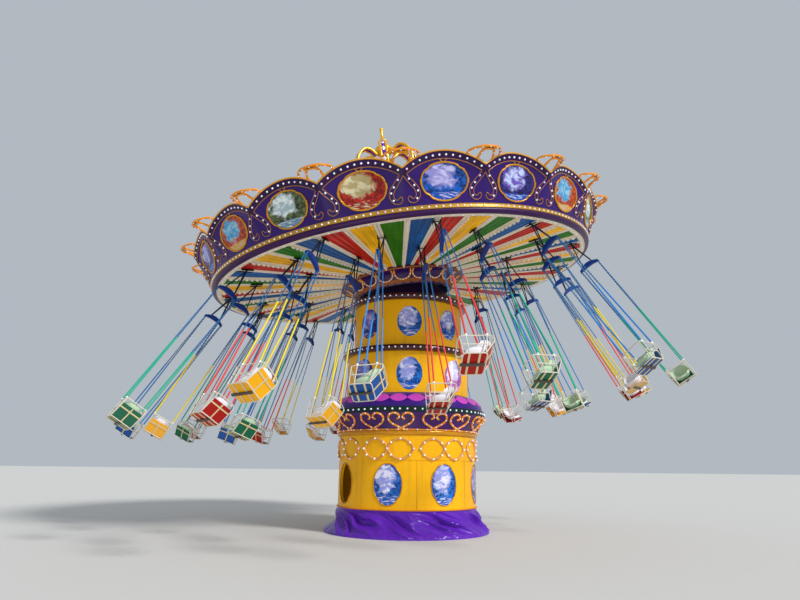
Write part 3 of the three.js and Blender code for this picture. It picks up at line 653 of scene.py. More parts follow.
# Lamps: a round cap on every spot, each with a tint number of its own
caps_on_spots, given, result = geometry_tree("caps_on_spots", [("Radius", FLOAT, 0.015), FINISH])
spots_in = node(caps_on_spots, "GeometryNodeMeshToPoints", {"Mesh": given["Geometry"]})
cap = node(caps_on_spots, "GeometryNodeMeshUVSphere",
           {"Segments": 8, "Rings": 4, "Radius": given["Radius"]})
caps = node(caps_on_spots, "GeometryNodeInstanceOnPoints",
            {"Points": spots_in.outputs[0], "Instance": cap.outputs[0]})
chance = node(caps_on_spots, "FunctionNodeRandomValue", data_type="FLOAT")
tinted = node(caps_on_spots, "GeometryNodeStoreNamedAttribute",
              {"Geometry": caps.outputs[0], "Name": "tint"}, data_type="FLOAT", domain="INSTANCE")
caps_on_spots.links.new(chance.outputs[1], tinted.inputs["Value"])
close_tree(caps_on_spots, tinted.outputs[0], given, result)


def lamps(name, places, radius=0.015):
    """A lamp cap at each place."""
    mesh = bpy.data.meshes.new(name)
    mesh.from_pydata([tuple(p) for p in places], [], [])
    return grown(name, mesh, caps_on_spots, Radius=radius, Finish=lamp_cap)


def pointed_oval(half_w, half_h, count, sharp):
    """Oval outline drawn out to a point at each side."""
    outline = []
    for k in range(count):
        sine = math.sin(2 * math.pi * k / count)
        across = half_w * math.cos(2 * math.pi * k / count)
        outline.append((across, math.copysign(half_h * abs(sine) ** sharp, sine)))
    return outline


pair_spots = [on_wall(ROPE_BAND_R, ROPE_RING_Z, FIRST_OVAL + PICTURE_PITCH * k + side * PAIR_OFF)
              for k in range(DRUM_PANELS) for side in (-1, 1)]
rope_ring = pointed_oval(ROPE_RING_W, ROPE_RING_H, ROPE_RING_STEPS, ROPE_RING_SHARP)
rope_paths = [[lay(x, y, 0.008) for x, y in rope_ring] for lay in pair_spots]
ring_ropes = rods("rope_rings", rope_paths, ROPE_R, rope_gilt, closed=True,
                  Strands=3, Hollow=0.34, Twist=75, Step=0.012)
piece(ring_ropes, "base", "gold_paint")
lamp_spots = rope_ring[::ROPE_RING_STEPS // RING_LAMPS]
ring_lamps = [lay(x, y, 0.034) for lay in pair_spots for x, y in lamp_spots]
piece(lamps("rope_ring_lamps", ring_lamps, 0.021), "base", "cream_paint")

# Corbel: a purple flare spun from sheet, which carries the lamp band. A gold moulding with a line
# of lamps above it runs round its foot, and sixteen hearts bent from gilt tube are screwed to its
# side, with lamps along them.
CORBEL_SIDE = [(1.466, 1.912), (1.475, 1.96), (1.52, 2.06), (1.6, 2.19), (1.67, 2.29)]
CORBEL_LOW = 1.8703
MOULDING_SIDE = [(1.45, 1.8712), (1.474, 1.873), (1.49, 1.895), (1.491, 1.925), (1.482, 1.95), (1.45, 1.957)]


def radius_on(side):
    """Radius of a turned wall at a height, from its [radius, height] side."""
    def radius(z):
        for (r_low, low), (r_high, high) in zip(side, side[1:]):
            if z <= high:
                break
        return r_low + (r_high - r_low) * (z - low) / (high - low)
    return radius


def evenly(path, count):
    """So many places along a path, the first and last half a step from its ends."""
    lengths = [0.0]
    for a, b in zip(path, path[1:]):
        lengths.append(lengths[-1] + (Vector(b) - Vector(a)).length)
    places = []
    for k in range(count):
        want = lengths[-1] * (k + 0.5) / count
        i = next(i for i in range(1, len(lengths)) if lengths[i] >= want)
        part = (want - lengths[i - 1]) / (lengths[i] - lengths[i - 1])
        places.append(Vector(path[i - 1]).lerp(Vector(path[i]), part))
    return places


def all_round(radius, at_z, count, proud=0.0):
    """So many places evenly round a turned wall."""
    return [on_wall(radius, at_z, 360 / count * k)(0, 0, proud) for k in range(count)]


plum_paint = paint("plum_gloss", "3c0c5c", drift=0.16, streaks=0.08, gloss=0.32, peel=30,
                   bump=0.08, coat=0.25)
heart_gilt = paint("heart_gilt", "e08a20", drift=0.1, streaks=0.06, gloss=0.3, peel=150, bump=0.04)
corbel_side = eased(CORBEL_SIDE, 5)
corbel_r = radius_on(corbel_side)
corbel_foot = [(1.38, CORBEL_LOW), (1.462, CORBEL_LOW), (1.478, 1.89)]
corbel = turned("corbel", corbel_foot + corbel_side + [(1.5, 2.29), (1.38, 2.15)], 160)
piece(corbel, "base", "purple_paint", "corbel", materials=[plum_paint])
moulding = turned("corbel_moulding", eased(MOULDING_SIDE, 4), WALL_SIDES)
piece(moulding, "base", "gold_paint", materials=[gold_trim])

HEART_OFF = 10.5
HEART_FOOT = 1.965
HEART_HALF = [(0.078, 0.195), (0.032, 0.22), (0.05, 0.275), (0.135, 0.302), (0.222, 0.268), (0.238, 0.19),
              (0.18, 0.12), (0.085, 0.068), (0.0, 0.026), (-0.05, 0.006), (-0.11, 0.002)]
HEART_TUBE_R = 0.0215
HEART_LAMPS = 7
FOOT_LINE_Z = HEART_FOOT + 0.003
FOOT_LINE_R = 0.013
FOOT_LAMPS = 48
heart_side = eased(HEART_HALF, 5)
heart_paths, heart_lamps = [], []
for k in range(DRUM_PANELS):
    for off in (-HEART_OFF, HEART_OFF):
        lay = on_wall(corbel_r, HEART_FOOT, FIRST_OVAL + PICTURE_PITCH * k + off)
        for mirror in (-1, 1):
            heart_paths.append([lay(mirror * x, y, 0.012) for x, y in heart_side])
            heart_lamps += [lay(mirror * x, y, 0.0335) for x, y in evenly(heart_side, HEART_LAMPS)]
hearts = rods("hearts", heart_paths, HEART_TUBE_R, heart_gilt, Step=0.018)
foot_path = all_round(corbel_r, FOOT_LINE_Z, WALL_SIDES, 0.008)
foot_line = rods("foot_line", [foot_path], FOOT_LINE_R, heart_gilt, closed=True)
piece(joined("hearts", hearts, foot_line), "base", "gold_paint")
heart_lamps += all_round(corbel_r, FOOT_LINE_Z, FOOT_LAMPS, 0.02)
piece(lamps("heart_lamps", heart_lamps, 0.0135), "base", "cream_paint")

# Lamp band: a dark green ring of rolled sheet between corbel and dome, with seventy-two lamps
# plugged into it all round.
BULB_BAND_R = 1.66
BULB_BAND_LOW = 2.2903
BULB_BAND_TOP = 2.4
BULBS = 72
dark_green = paint("dark_green", "0f2a28", streaks=0.1, gloss=0.3)
band_side = [(1.5, BULB_BAND_LOW), (1.655, BULB_BAND_LOW), (BULB_BAND_R, 2.296), (BULB_BAND_R, 2.394),
             (1.655, BULB_BAND_TOP), (1.5, BULB_BAND_TOP)]
band = turned("bulb_band", band_side, WALL_SIDES)
piece(band, "base", "dark_green_paint", "bulb_band", materials=[dark_green])
bulbs = lamps("bulb_band_lamps", all_round(BULB_BAND_R, 2.345, BULBS, 0.004), 0.02)
piece(bulbs, "base", "cream_paint")

# Dome: a violet shoulder spun from sheet that closes the tower above the lamp band. Twenty-eight
# pink leaves, cut from thin sheet, are stuck round it tip to tip.
DOME_ARC_R = 0.286
DOME_ARC_AT = (1.33, 2.4003)
DOME_INNER_R = 1.215
DOME_TOP = 2.7
LEAVES = 28
LEAVES_Z = 2.575
LEAF_HALF_W = 0.174
LEAF_HALF_H = 0.078
LEAF_SHARP = 1.5


def dome_r(z):
    """Radius of the dome's round side at a height."""
    return DOME_ARC_AT[0] + math.sqrt(max(0, DOME_ARC_R ** 2 - (z - DOME_ARC_AT[1]) ** 2))


dome_paint = paint("dome_violet", "360a78", drift=0.16, streaks=0.1, gloss=0.32, peel=24,
                   bump=0.08, coat=0.25)
leaf_pink = paint("leaf_pink", "c244b4", drift=0.08, streaks=0.06, gloss=0.3)
arc = []
for deg in range(6, 91, 6):
    a = math.radians(deg)
    arc.append((DOME_ARC_AT[0] + DOME_ARC_R * math.cos(a), DOME_ARC_AT[1] + DOME_ARC_R * math.sin(a)))
dome_foot = [(DOME_INNER_R, DOME_ARC_AT[1]), (1.62, DOME_ARC_AT[1])]
dome = turned("dome", dome_foot + arc + [(DOME_ARC_AT[0], DOME_TOP), (DOME_INNER_R, DOME_TOP)], 168)
piece(dome, "base", "purple_paint", "dome_shoulder", materials=[dome_paint])
leaf_outline = pointed_oval(LEAF_HALF_W, LEAF_HALF_H, 40, LEAF_SHARP)
leaves = []
for k in range(LEAVES):
    lay = on_wall(dome_r, LEAVES_Z, 360 / LEAVES * (k + 0.5))
    leaves.append(finished(sheet_inside("leaf", leaf_outline, lay, 0.004), leaf_pink))
piece(joined("dome_leaves", *leaves), "base", "purple_paint")

# Lower wall: yellow sheet rolled round, with eight pictures. On top of it lies a maroon ring with
# a rounded edge and seventy-two lamps.
WALL = 0.045
LOWER_R = 1.318
LOWER_FOOT = 2.7003
LOWER_TOP = 3.53
TOWER_FIRST = 1.5
LOWER_RING_R = 1.45
LOWER_RING_BORE = 1.215
maroon = paint("maroon_gloss", "3d0f12", streaks=0.08, gloss=0.28, coat=0.5)
wall = turned("lower_wall", flat_ring(LOWER_R - WALL, LOWER_R, LOWER_FOOT, LOWER_TOP), WALL_SIDES)
piece(wall, "base", "yellow_paint", "lower_section", materials=[yellow_paint])
ovals("lower_pictures", "base", LOWER_R, 3.08, 0.26, 0.33, TOWER_FIRST, (0, 2, 1, 0, 2, 1, 0, 1))


def rolled_ring(name, bore, radius, low, high):
    """Ring with a rounded outer edge."""
    half = (high - low) / 2
    edge = []
    for deg in range(-90, 91, 15):
        a = math.radians(deg)
        edge.append((radius - half + half * math.cos(a), low + half + half * math.sin(a)))
    return turned(name, [(bore, low)] + edge + [(bore, high)], WALL_SIDES)


lower_ring = rolled_ring("lower_ring", LOWER_RING_BORE, LOWER_RING_R, 3.5303, 3.66)
piece(lower_ring, "base", "maroon_paint", "lower_ring", materials=[maroon])
bulbs = lamps("lower_ring_lamps", all_round(LOWER_RING_R, 3.592, BULBS, 0.002), 0.019)
piece(bulbs, "base", "cream_paint")

# Mast and base plate: steel, welded together and left in grey primer. They stand inside the
# tower, out of sight, and guide the lifting section.
grey_primer = paint("grey_primer", "7d8185", streaks=0.25, gloss=0.5, metallic=0.4)


def dress(name, material):
    """Gives a CAD solid that stays in view its material."""
    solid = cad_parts[name]
    solid.data.materials.clear()
    solid.data.materials.append(material)


dress("mast", grey_primer)

# Lifting section: a narrower wall of the same yellow sheet that slides up out of the lower one,
# with its pictures and its lamp ring; the steel carriage inside it rides on the mast and holds
# the tilting pin.
UPPER_FOOT = 2.9
UPPER_TOP = 4.645
UPPER_R = 1.187
UPPER_BORE = 1.15
UPPER_RING_R = 1.32
UPPER_BULBS = 66
wall = turned("upper_wall", flat_ring(UPPER_BORE, UPPER_R, UPPER_FOOT, UPPER_TOP), WALL_SIDES)
piece(wall, "lift", "yellow_paint", "upper_section", materials=[yellow_paint])
ovals("upper_pictures", "lift", UPPER_R, 4.18, 0.255, 0.32, TOWER_FIRST, (0, 0, 2, 1, 0, 1, 2, 1))
upper_ring = rolled_ring("upper_ring", UPPER_BORE, UPPER_RING_R, 4.6453, 4.78)
piece(upper_ring, "lift", "maroon_paint", "upper_ring", materials=[maroon])
bulbs = lamps("upper_ring_lamps", all_round(UPPER_RING_R, 4.7, UPPER_BULBS, 0.001), 0.018)
piece(bulbs, "lift", "cream_paint")
dress("lift_carriage", grey_primer)

# Neck: a dark purple dome spun from sheet on a closed bottom. It leans on a steel pin that lies
# in the carriage, and the canopy turns on a ring on top of it.
PIVOT_Z = 4.35
TILT = math.radians(8.53)
LEAN_TOWARDS = math.radians(198.1)
lean_axis = Vector((-math.sin(LEAN_TOWARDS), math.cos(LEAN_TOWARDS), 0))
LEAN = Matrix.Rotation(TILT, 4, lean_axis)
CANOPY = Matrix.Translation((0, 0, PIVOT_Z)) @ LEAN
NECK_R = 1.13
NECK_SKIN = 0.02
NECK_LOW = 0.15
NECK_HIGH = 0.8
NECK_INNER_HIGH = 0.76
NECK_STEPS = 12
TILT_PIN_R = 0.05
TILT_PIN_HALF = 0.26
neck_plum = paint("neck_plum", "240f38", drift=0.12, streaks=0.12, gloss=0.32, peel=30)


def neck_arc(radius, low, high, steps):
    """Points up a round shoulder between two heights."""
    first, last = math.asin(low / radius), math.asin(high / radius)
    angles = [first + (last - first) * k / steps for k in range(steps + 1)]
    return [(radius * math.cos(a), radius * math.sin(a)) for a in angles]


neck_outer = neck_arc(NECK_R, NECK_LOW, NECK_HIGH, NECK_STEPS)
neck_inner = neck_arc(NECK_R - NECK_SKIN, NECK_LOW, NECK_INNER_HIGH, NECK_STEPS)
neck_middle = [(0.001, NECK_HIGH), (0.001, 0), (0.15, 0), (0.15, NECK_INNER_HIGH)]
neck_shell = turned("neck", neck_outer + neck_middle + neck_inner[::-1], 120)
pin_way = lean_axis * TILT_PIN_HALF
pin = rods("pin", [[-pin_way, pin_way]], TILT_PIN_R, grey_primer, Strands=12, Step=2 * TILT_PIN_HALF)
neck = joined("neck", finished(neck_shell, neck_plum), pin)
neck.transform(CANOPY)
piece(neck, "tilt", "dark_purple_paint", "neck")

# Turning deck: a wheel of welded steel plate in grey primer. Everything above and all the chairs
# are bolted to it, and soffit and roof hide it.
DECK_UP = 1.02
CROWN = CANOPY @ Matrix.Translation((0, 0, DECK_UP))
dress("turning_deck", grey_primer)


def crown_piece(mesh, slot, *stands_for, materials=()):
    """A piece of the turning canopy, made level about the axis and then leant with it."""
    mesh.transform(CROWN)
    return piece(mesh, "crown", slot, *stands_for, materials=materials)


# Soffit: forty-eight sectors pressed from sheet, in four colours, screwed up between cream boards
# with a dark joint line. From every second rib hangs an upright board with a scalloped foot and a
# row of lamps.
around_axis, given, result = geometry_tree("around_axis", [("Count", INT, 8), ("First", FLOAT, 0)])
places = node(around_axis, "GeometryNodeMeshLine", {"Count": given["Count"], "Offset": (0, 0, 0)})
number = node(around_axis, "GeometryNodeInputIndex")
pitch = node(around_axis, "ShaderNodeMath", {0: 2 * math.pi, 1: given["Count"]}, operation="DIVIDE")
angle = node(around_axis, "ShaderNodeMath", {0: number.outputs[0], 1: pitch.outputs[0], 2: given["First"]},
             operation="MULTIPLY_ADD")
swung = node(around_axis, "ShaderNodeCombineXYZ", {"Z": angle.outputs[0]})
copies = node(around_axis, "GeometryNodeInstanceOnPoints",
              {"Points": places.outputs[0], "Instance": given["Geometry"], "Rotation": swung.outputs[0]})
real = node(around_axis, "GeometryNodeRealizeInstances", {"Geometry": copies.outputs[0]})
around_axis.links.new(real.outputs[0], result.inputs[0])


def round_axis(name, mesh, count, first_deg=0.0):
    """So many copies of a mesh round the axis, the first turned by the angle given."""
    return grown(name, mesh, around_axis, Count=count, First=math.radians(first_deg))


# Pressed sheet: painted shade and highlights of fine folds run along each sector, from its own UV map, over a
# random cloudy tone
fold_shade_streaks, given, result = shader_group(
    "fold_shade_streaks", [("Colour", COLOUR, (1, 1, 1, 1)), ("Depth", FLOAT, 0.5)],
    [("Colour", COLOUR), ("Roughness", FLOAT)])
picture_place = node(fold_shade_streaks, "ShaderNodeUVMap", uv_map="picture").outputs[0]
# The lengthwise noise paints the shade and highlights of fine folds; the cloudy noise is a random tone.
lengthwise = node(fold_shade_streaks, "ShaderNodeMapping", {"Vector": picture_place, "Scale": (9, 0.7, 1)})
streaks = node(fold_shade_streaks, "ShaderNodeTexNoise",
               {"Vector": lengthwise.outputs[0], "Scale": 1.6, "Detail": 4})
coords = node(fold_shade_streaks, "ShaderNodeTexCoord").outputs["Object"]
cloudy = node(fold_shade_streaks, "ShaderNodeTexNoise", {"Vector": coords, "Scale": 1.7, "Detail": 3})
both = node(fold_shade_streaks, "ShaderNodeMath",
            {0: streaks.outputs["Fac"], 1: cloudy.outputs["Fac"]}, operation="ADD")
both = node(fold_shade_streaks, "ShaderNodeMath", {0: both.outputs[0], 1: 1}, operation="SUBTRACT")
value = node(fold_shade_streaks, "ShaderNodeMath", {0: both.outputs[0], 1: given["Depth"]}, operation="MULTIPLY")
value = node(fold_shade_streaks, "ShaderNodeMath", {0: value.outputs[0], 1: 1}, operation="ADD")
fold_shaded_colour = node(fold_shade_streaks, "ShaderNodeHueSaturation",
               {"Color": given["Colour"], "Value": value.outputs[0]})
fold_shade_streaks.links.new(fold_shaded_colour.outputs[0], result.inputs["Colour"])
rough = node(fold_shade_streaks, "ShaderNodeMapRange", {"Value": streaks.outputs["Fac"], 3: 0.28, 4: 0.5})
fold_shade_streaks.links.new(rough.outputs[0], result.inputs["Roughness"])


def fold_shaded(name, code, depth):
    """Material of painted sheet with painted shade and highlights of fine folds along its length."""
    material, tree, shader = new_material(name)
    sheet = node(tree, "ShaderNodeGroup", node_tree=fold_shade_streaks)
    sheet.inputs["Colour"].default_value = srgb(code)
    sheet.inputs["Depth"].default_value = depth
    tree.links.new(sheet.outputs["Colour"], shader.inputs["Base Color"])
    tree.links.new(sheet.outputs["Roughness"], shader.inputs["Roughness"])
    shader.inputs["Specular IOR Level"].default_value = 0.15
    return material


SOFFIT_IN_R = 1.376
SOFFIT_R = 4.07
SECTORS = 48
SECTOR_PITCH = 360 / SECTORS
FIRST_BOARD = -88.4
FLUTES = 4
FLUTE_Z = 0.0195
FLUTE_DEPTH = 0.005
SECTOR_BACK = 0.05
COLUMNS = 24
ROWS = 4
SECTOR_COLOURS = (("green", "1d6a06"), ("blue", "0a4f8e"), ("red", "b01808"), ("yellow", "eeb008"))


def steps_between(low, high, count):
    """Even steps from one value to another, both of them included."""
    return [low + (high - low) * k / count for k in range(count + 1)]


def pressed_sector(name):
    """One sector along +X, fluted below and flat above, with its own UV map: across and radius."""
    row = COLUMNS + 1
    grid = [(r, j / COLUMNS) for r in steps_between(SOFFIT_IN_R, SOFFIT_R, ROWS) for j in range(row)]
    under, over = [], []
    for r, t in grid:
        half = r * math.sin(math.radians(SECTOR_PITCH / 2))
        y = (2 * t - 1) * half
        reach = math.sqrt(r * r - y * y)
        under.append((reach, y, FLUTE_Z + FLUTE_DEPTH * math.cos(2 * math.pi * FLUTES * t)))
        over.append((reach, y, SECTOR_BACK))
    top = len(grid)
    faces = []
    for i in range(ROWS):
        for j in range(COLUMNS):
            a = i * row + j
            faces.append((a, a + 1, a + row + 1, a + row))
            faces.append((top + a, top + a + row, top + a + row + 1, top + a + 1))
        a, b = i * row, i * row + COLUMNS
        faces.append((a, a + row, top + a + row, top + a))
        faces.append((b, top + b, top + b + row, b + row))
    for start in (0, ROWS * row):
        for j in range(COLUMNS):
            a = start + j
            faces.append((a, a + 1, top + a + 1, top + a))
    mesh = bpy.data.meshes.new(name)
    mesh.from_pydata(under + over, [], faces)
    uv = mesh.uv_layers.new(name="picture")
    for loop in mesh.loops:
        r, t = grid[loop.vertex_index % top]
        uv.data[loop.index].uv = (t, r)
    return shaded(mesh)


# Strength of the painted fold shade and highlights on the soffit sheet
FOLD_SHADE_DEPTH = 1.3
EACH_COLOUR = SECTORS // len(SECTOR_COLOURS)
for k, (colour, code) in enumerate(SECTOR_COLOURS):
    tile = finished(pressed_sector("tile"), fold_shaded(f"{colour}_sheet", code, FOLD_SHADE_DEPTH))
    sectors = round_axis(f"soffit_{colour}", tile, EACH_COLOUR, FIRST_BOARD + SECTOR_PITCH * (k - 0.5))
    crown_piece(sectors, "cream_paint", "soffit")

RIB_HALF_IN = 0.036
RIB_HALF_OUT = 0.056
BOARD_GAP = 0.004
BOARD_LOW = 0.0
BOARD_HIGH = 0.03
BOARD_BEVEL_W = 0.003
BOARD_BEVEL_H = 0.004
JOINT_R = 0.0055
JOINT_Z = 0.012
SCALLOP = 0.105
SCALLOP_STEPS = 6
SCALLOP_DROP = 0.062
SCALLOP_DEPTH = 0.036
HANGING_TOP = BOARD_LOW + 0.01
HANGING_HALF_T = 0.006


def rib_half(r):
    """Half the width of a rib, which widens outwards."""
    return RIB_HALF_IN + (RIB_HALF_OUT - RIB_HALF_IN) * (r - SOFFIT_IN_R) / (SOFFIT_R - SOFFIT_IN_R)


def bar_through(name, sections, closed=False):
    """Closed bar, or a ring, through cross-sections of equal count."""
    count = len(sections[0])
    points = [p for section in sections for p in section]
    faces = []
    for i in range(len(sections) if closed else len(sections) - 1):
        after = (i + 1) % len(sections)
        for k in range(count):
            up = (k + 1) % count
            faces.append((i * count + k, i * count + up, after * count + up, after * count + k))
    if not closed:
        last = len(points) - count
        faces += [tuple(range(count)), tuple(range(last, last + count))]
    mesh = bpy.data.meshes.new(name)
    mesh.from_pydata(points, [], faces)
    return shaded(mesh)


cream_board = paint("cream_board", "ddd0b8", drift=0.08, streaks=0.15, gloss=0.42, peel=50)
dark_joint = paint("dark_joint", "2c2a26", streaks=0, gloss=0.6)
boards = []
for side in (-1, 1):
    sections = []
    for r in steps_between(SOFFIT_IN_R, SOFFIT_R, 6):
        half = rib_half(r)
        profile = ((BOARD_GAP, BOARD_LOW), (half - BOARD_BEVEL_W, BOARD_LOW), (half, BOARD_BEVEL_H),
                   (half, BOARD_HIGH), (BOARD_GAP, BOARD_HIGH))
        sections.append([(math.sqrt(r * r - y * y), side * y, z) for y, z in profile])
    boards.append(finished(bar_through("board", sections), cream_board))
joint_path = [(SOFFIT_IN_R + 0.01, 0, JOINT_Z), (SOFFIT_R - 0.01, 0, JOINT_Z)]
joint = rods("joint", [joint_path], JOINT_R, dark_joint, Step=3)
crown_piece(round_axis("ribs", joined("rib", *boards, joint), SECTORS, FIRST_BOARD), "cream_paint")

scallops = int((SOFFIT_R - SOFFIT_IN_R) / SCALLOP)
hanging = []
for i in range(scallops * SCALLOP_STEPS + 1):
    notch = 1 - abs(math.sin(math.pi * i / SCALLOP_STEPS)) ** 0.7
    foot = BOARD_LOW - SCALLOP_DROP + SCALLOP_DEPTH * notch
    r = SOFFIT_IN_R + SCALLOP * i / SCALLOP_STEPS
    hanging.append([(r, -HANGING_HALF_T, HANGING_TOP), (r, HANGING_HALF_T, HANGING_TOP),
                    (r, HANGING_HALF_T, foot), (r, -HANGING_HALF_T, foot)])
scalloped = finished(bar_through("scalloped_board", hanging), cream_board)
crown_piece(round_axis("scalloped_boards", scalloped, SECTORS // 2, FIRST_BOARD), "cream_paint")
lamp_z = BOARD_LOW - 0.034
scallop_middles = [(SOFFIT_IN_R + SCALLOP * (k + 0.5), 0, lamp_z) for k in range(scallops)]
board_lamps = lamps("board_lamps", scallop_middles, 0.0145)
crown_piece(round_axis("soffit_lamps", board_lamps, SECTORS // 2, FIRST_BOARD), "cream_paint")

EDGE_LOW = -0.006
EDGE_LAMPS = 144
edge_side = [(4.0, BOARD_HIGH), (4.0, -0.002), (4.01, EDGE_LOW), (4.092, EDGE_LOW), (4.1, 0.0),
             (4.1, BOARD_HIGH)]
crown_piece(turned("soffit_edge", edge_side, 192), "cream_paint", materials=[cream_board])
crown_piece(lamps("soffit_edge_lamps", all_round(4.05, EDGE_LOW, EDGE_LAMPS), 0.012), "cream_paint")

# Cornice: a purple cone spun from sheet, screwed under the middle of the soffit. It has an ochre
# roll at its top, twenty swags of gilt rope with lamps, and a lobed ochre valance round its foot.
CORNICE_LOW = -0.31
CORNICE_SIDE = [(1.07, CORNICE_LOW), (1.12, -0.23), (1.23, -0.09), (1.37, -0.035)]
ROLL_R = 1.384
ROLL_Z = -0.032
ROLL_TUBE_R = 0.024
cornice_side = eased(CORNICE_SIDE, 4)
cornice_r = radius_on(cornice_side)
cornice_plum = paint("cornice_plum", "2a0a48", drift=0.14, streaks=0.08, gloss=0.34, peel=30,
                     bump=0.06, coat=0.2)
ochre = paint("ochre_roll", "8a4818", drift=0.12, streaks=0.1, gloss=0.42)
cornice = turned("cornice", [(1.03, CORNICE_LOW)] + cornice_side + [(1.37, 0.05), (1.23, 0.05)], 160)
crown_piece(cornice, "dark_purple_paint", "cornice", materials=[cornice_plum])
roll_path = all_round(ROLL_R, ROLL_Z, WALL_SIDES)
crown_piece(rods("cornice_roll", [roll_path], ROLL_TUBE_R, ochre, closed=True), "orange_paint")

SWAGS = 20
SWAG_HALF_W = 0.175
SWAG_TOP = -0.05
SWAG_DROP = 0.17
SWAG_LAMPS = 9
SWAG_R = 0.02
swag_curve = []
for deg in range(-90, 91, 9):
    a = math.radians(deg)
    swag_curve.append((SWAG_HALF_W * math.sin(a), SWAG_TOP - SWAG_DROP * math.cos(a) ** 0.8))
swag_paths, swag_lamps = [], []
for k in range(SWAGS):
    lay = on_wall(cornice_r, 0, 360 / SWAGS * k)
    swag_paths.append([lay(x, y, 0.012) for x, y in swag_curve])
    swag_lamps += [lay(x, y, 0.026) for x, y in evenly(swag_curve, SWAG_LAMPS)]
swag_gilt = paint("swag_gilt", "d99030", drift=0.08, streaks=0.05, gloss=0.3, peel=160, bump=0.06)
swags = rods("swags", swag_paths, SWAG_R, swag_gilt, Strands=3, Hollow=0.3, Twist=80, Step=0.012)
crown_piece(swags, "gold_paint")
crown_piece(lamps("swag_lamps", swag_lamps, 0.013), "cream_paint")

VALANCE_LOBES = 40
LOBE_DEPTH = 0.04
LOBES_BELOW = -0.25


def valance_lobes(angle, r, z):
    """Scallops along the valance's lower edge."""
    if z > LOBES_BELOW:
        return r, z
    return r, z + LOBE_DEPTH * (1 - abs(math.sin(angle * VALANCE_LOBES / 2)) ** 0.6)


valance_side = [(1.128, -0.205), (1.142, -0.21), (1.106, -0.3), (1.09, -0.3)]
valance = turned("valance", valance_side, 12 * VALANCE_LOBES, shape=valance_lobes)
crown_piece(valance, "orange_paint", materials=[ochre])

# Rim: two bands of sheet rolled round the canopy's edge, a rounded one in dark purple and above
# it a gold one with a row of lamps. They cover the end of the soffit and carry the fascia.
RIM_SIDES = 360
RIM_BORE = 4.1003
RIM_TOP = 0.08
rim_plum = paint("rim_plum", "340e46", drift=0.12, streaks=0.06, gloss=0.34, peel=40, bump=0.05)
rim_side = eased([(4.137, 0.0), (4.168, 0.012), (4.187, 0.035), (4.192, 0.055), (4.186, RIM_TOP)], 3)
rim = turned("rim_band", [(RIM_BORE, 0)] + rim_side + [(RIM_BORE, RIM_TOP)], RIM_SIDES)
crown_piece(rim, "dark_purple_paint", "rim_band", materials=[rim_plum])

GOLD_LOW = 0.0803
GOLD_TOP = 0.15
GOLD_BORE = 3.9903
BAND_LAMPS = 220
gold_side = [(4.196, GOLD_LOW), (4.204, 0.084), (4.204, 0.093), (4.197, 0.096), (4.197, 0.134),
             (4.204, 0.137), (4.208, 0.146), (4.204, GOLD_TOP)]
gold_band = paint("band_gold", "b98c34", drift=0.1, streaks=0.08, gloss=0.26, peel=90,
                  bump=0.05, metallic=0.3)
gold = turned("gold_band", [(GOLD_BORE, GOLD_LOW)] + gold_side + [(GOLD_BORE, GOLD_TOP)], RIM_SIDES)
crown_piece(gold, "gold_paint", "gold_band", materials=[gold_band])
crown_piece(lamps("gold_band_lamps", all_round(4.197, 0.115, BAND_LAMPS, 0.002), 0.017), "cream_paint")

# Fascia: twenty flared panels with arched tops, pressed from sheet and sprayed a glossy purple.
# They stand side by side on the gold band.
PANELS = 20
PANEL_PITCH = 360 / PANELS
PANEL_AZIMUTH = -97.5
FASCIA_FOOT_R = 4.195
FASCIA_FOOT = 0.1503
FASCIA_T = 0.014
FLARE = 0.3
VALLEY_FLARE = 0.25
VALLEY_H = 0.69
PEAK_H = 0.97
FASCIA_MID_R = 4.3


def across_panel(azimuth):
    """Place across the panel there, from -1 to 1."""
    return ((azimuth - PANEL_AZIMUTH + PANEL_PITCH / 2) % PANEL_PITCH) / (PANEL_PITCH / 2) - 1


def edge_height(azimuth):
    """Height of the fascia's top edge."""
    return VALLEY_H + (PEAK_H - VALLEY_H) * (1 - across_panel(azimuth) ** 2)


def on_fascia(at):
    """Lays flat places (across, height, proud) on the fascia about an azimuth."""
    def lay(x, u, proud=0.0):
        azimuth = at + math.degrees(x / FASCIA_MID_R)
        flare = FLARE + VALLEY_FLARE * across_panel(azimuth) ** 2
        r = FASCIA_FOOT_R + (u - GOLD_TOP) * flare + proud
        return Vector((r * math.cos(math.radians(azimuth)), r * math.sin(math.radians(azimuth)), u))
    return lay


FASCIA_STEPS = 20
FASCIA_ROWS = 8
fascia_columns = PANELS * FASCIA_STEPS
fascia_sections = []
for i in range(fascia_columns):
    azimuth = PANEL_AZIMUTH - PANEL_PITCH / 2 + PANEL_PITCH * i / FASCIA_STEPS
    lay = on_fascia(azimuth)
    heights = steps_between(FASCIA_FOOT, edge_height(azimuth), FASCIA_ROWS)
    fascia_sections.append([lay(0, u) for u in heights] + [lay(0, u, -FASCIA_T) for u in reversed(heights)])
fascia_gloss = paint("fascia_gloss", "2c0c62", drift=0.22, streaks=0.06, gloss=0.26, peel=18,
                     bump=0.05, coat=0.06)
fascia = bar_through("fascia", fascia_sections, closed=True)
crown_piece(fascia, "purple_gloss", "fascia", materials=[fascia_gloss])

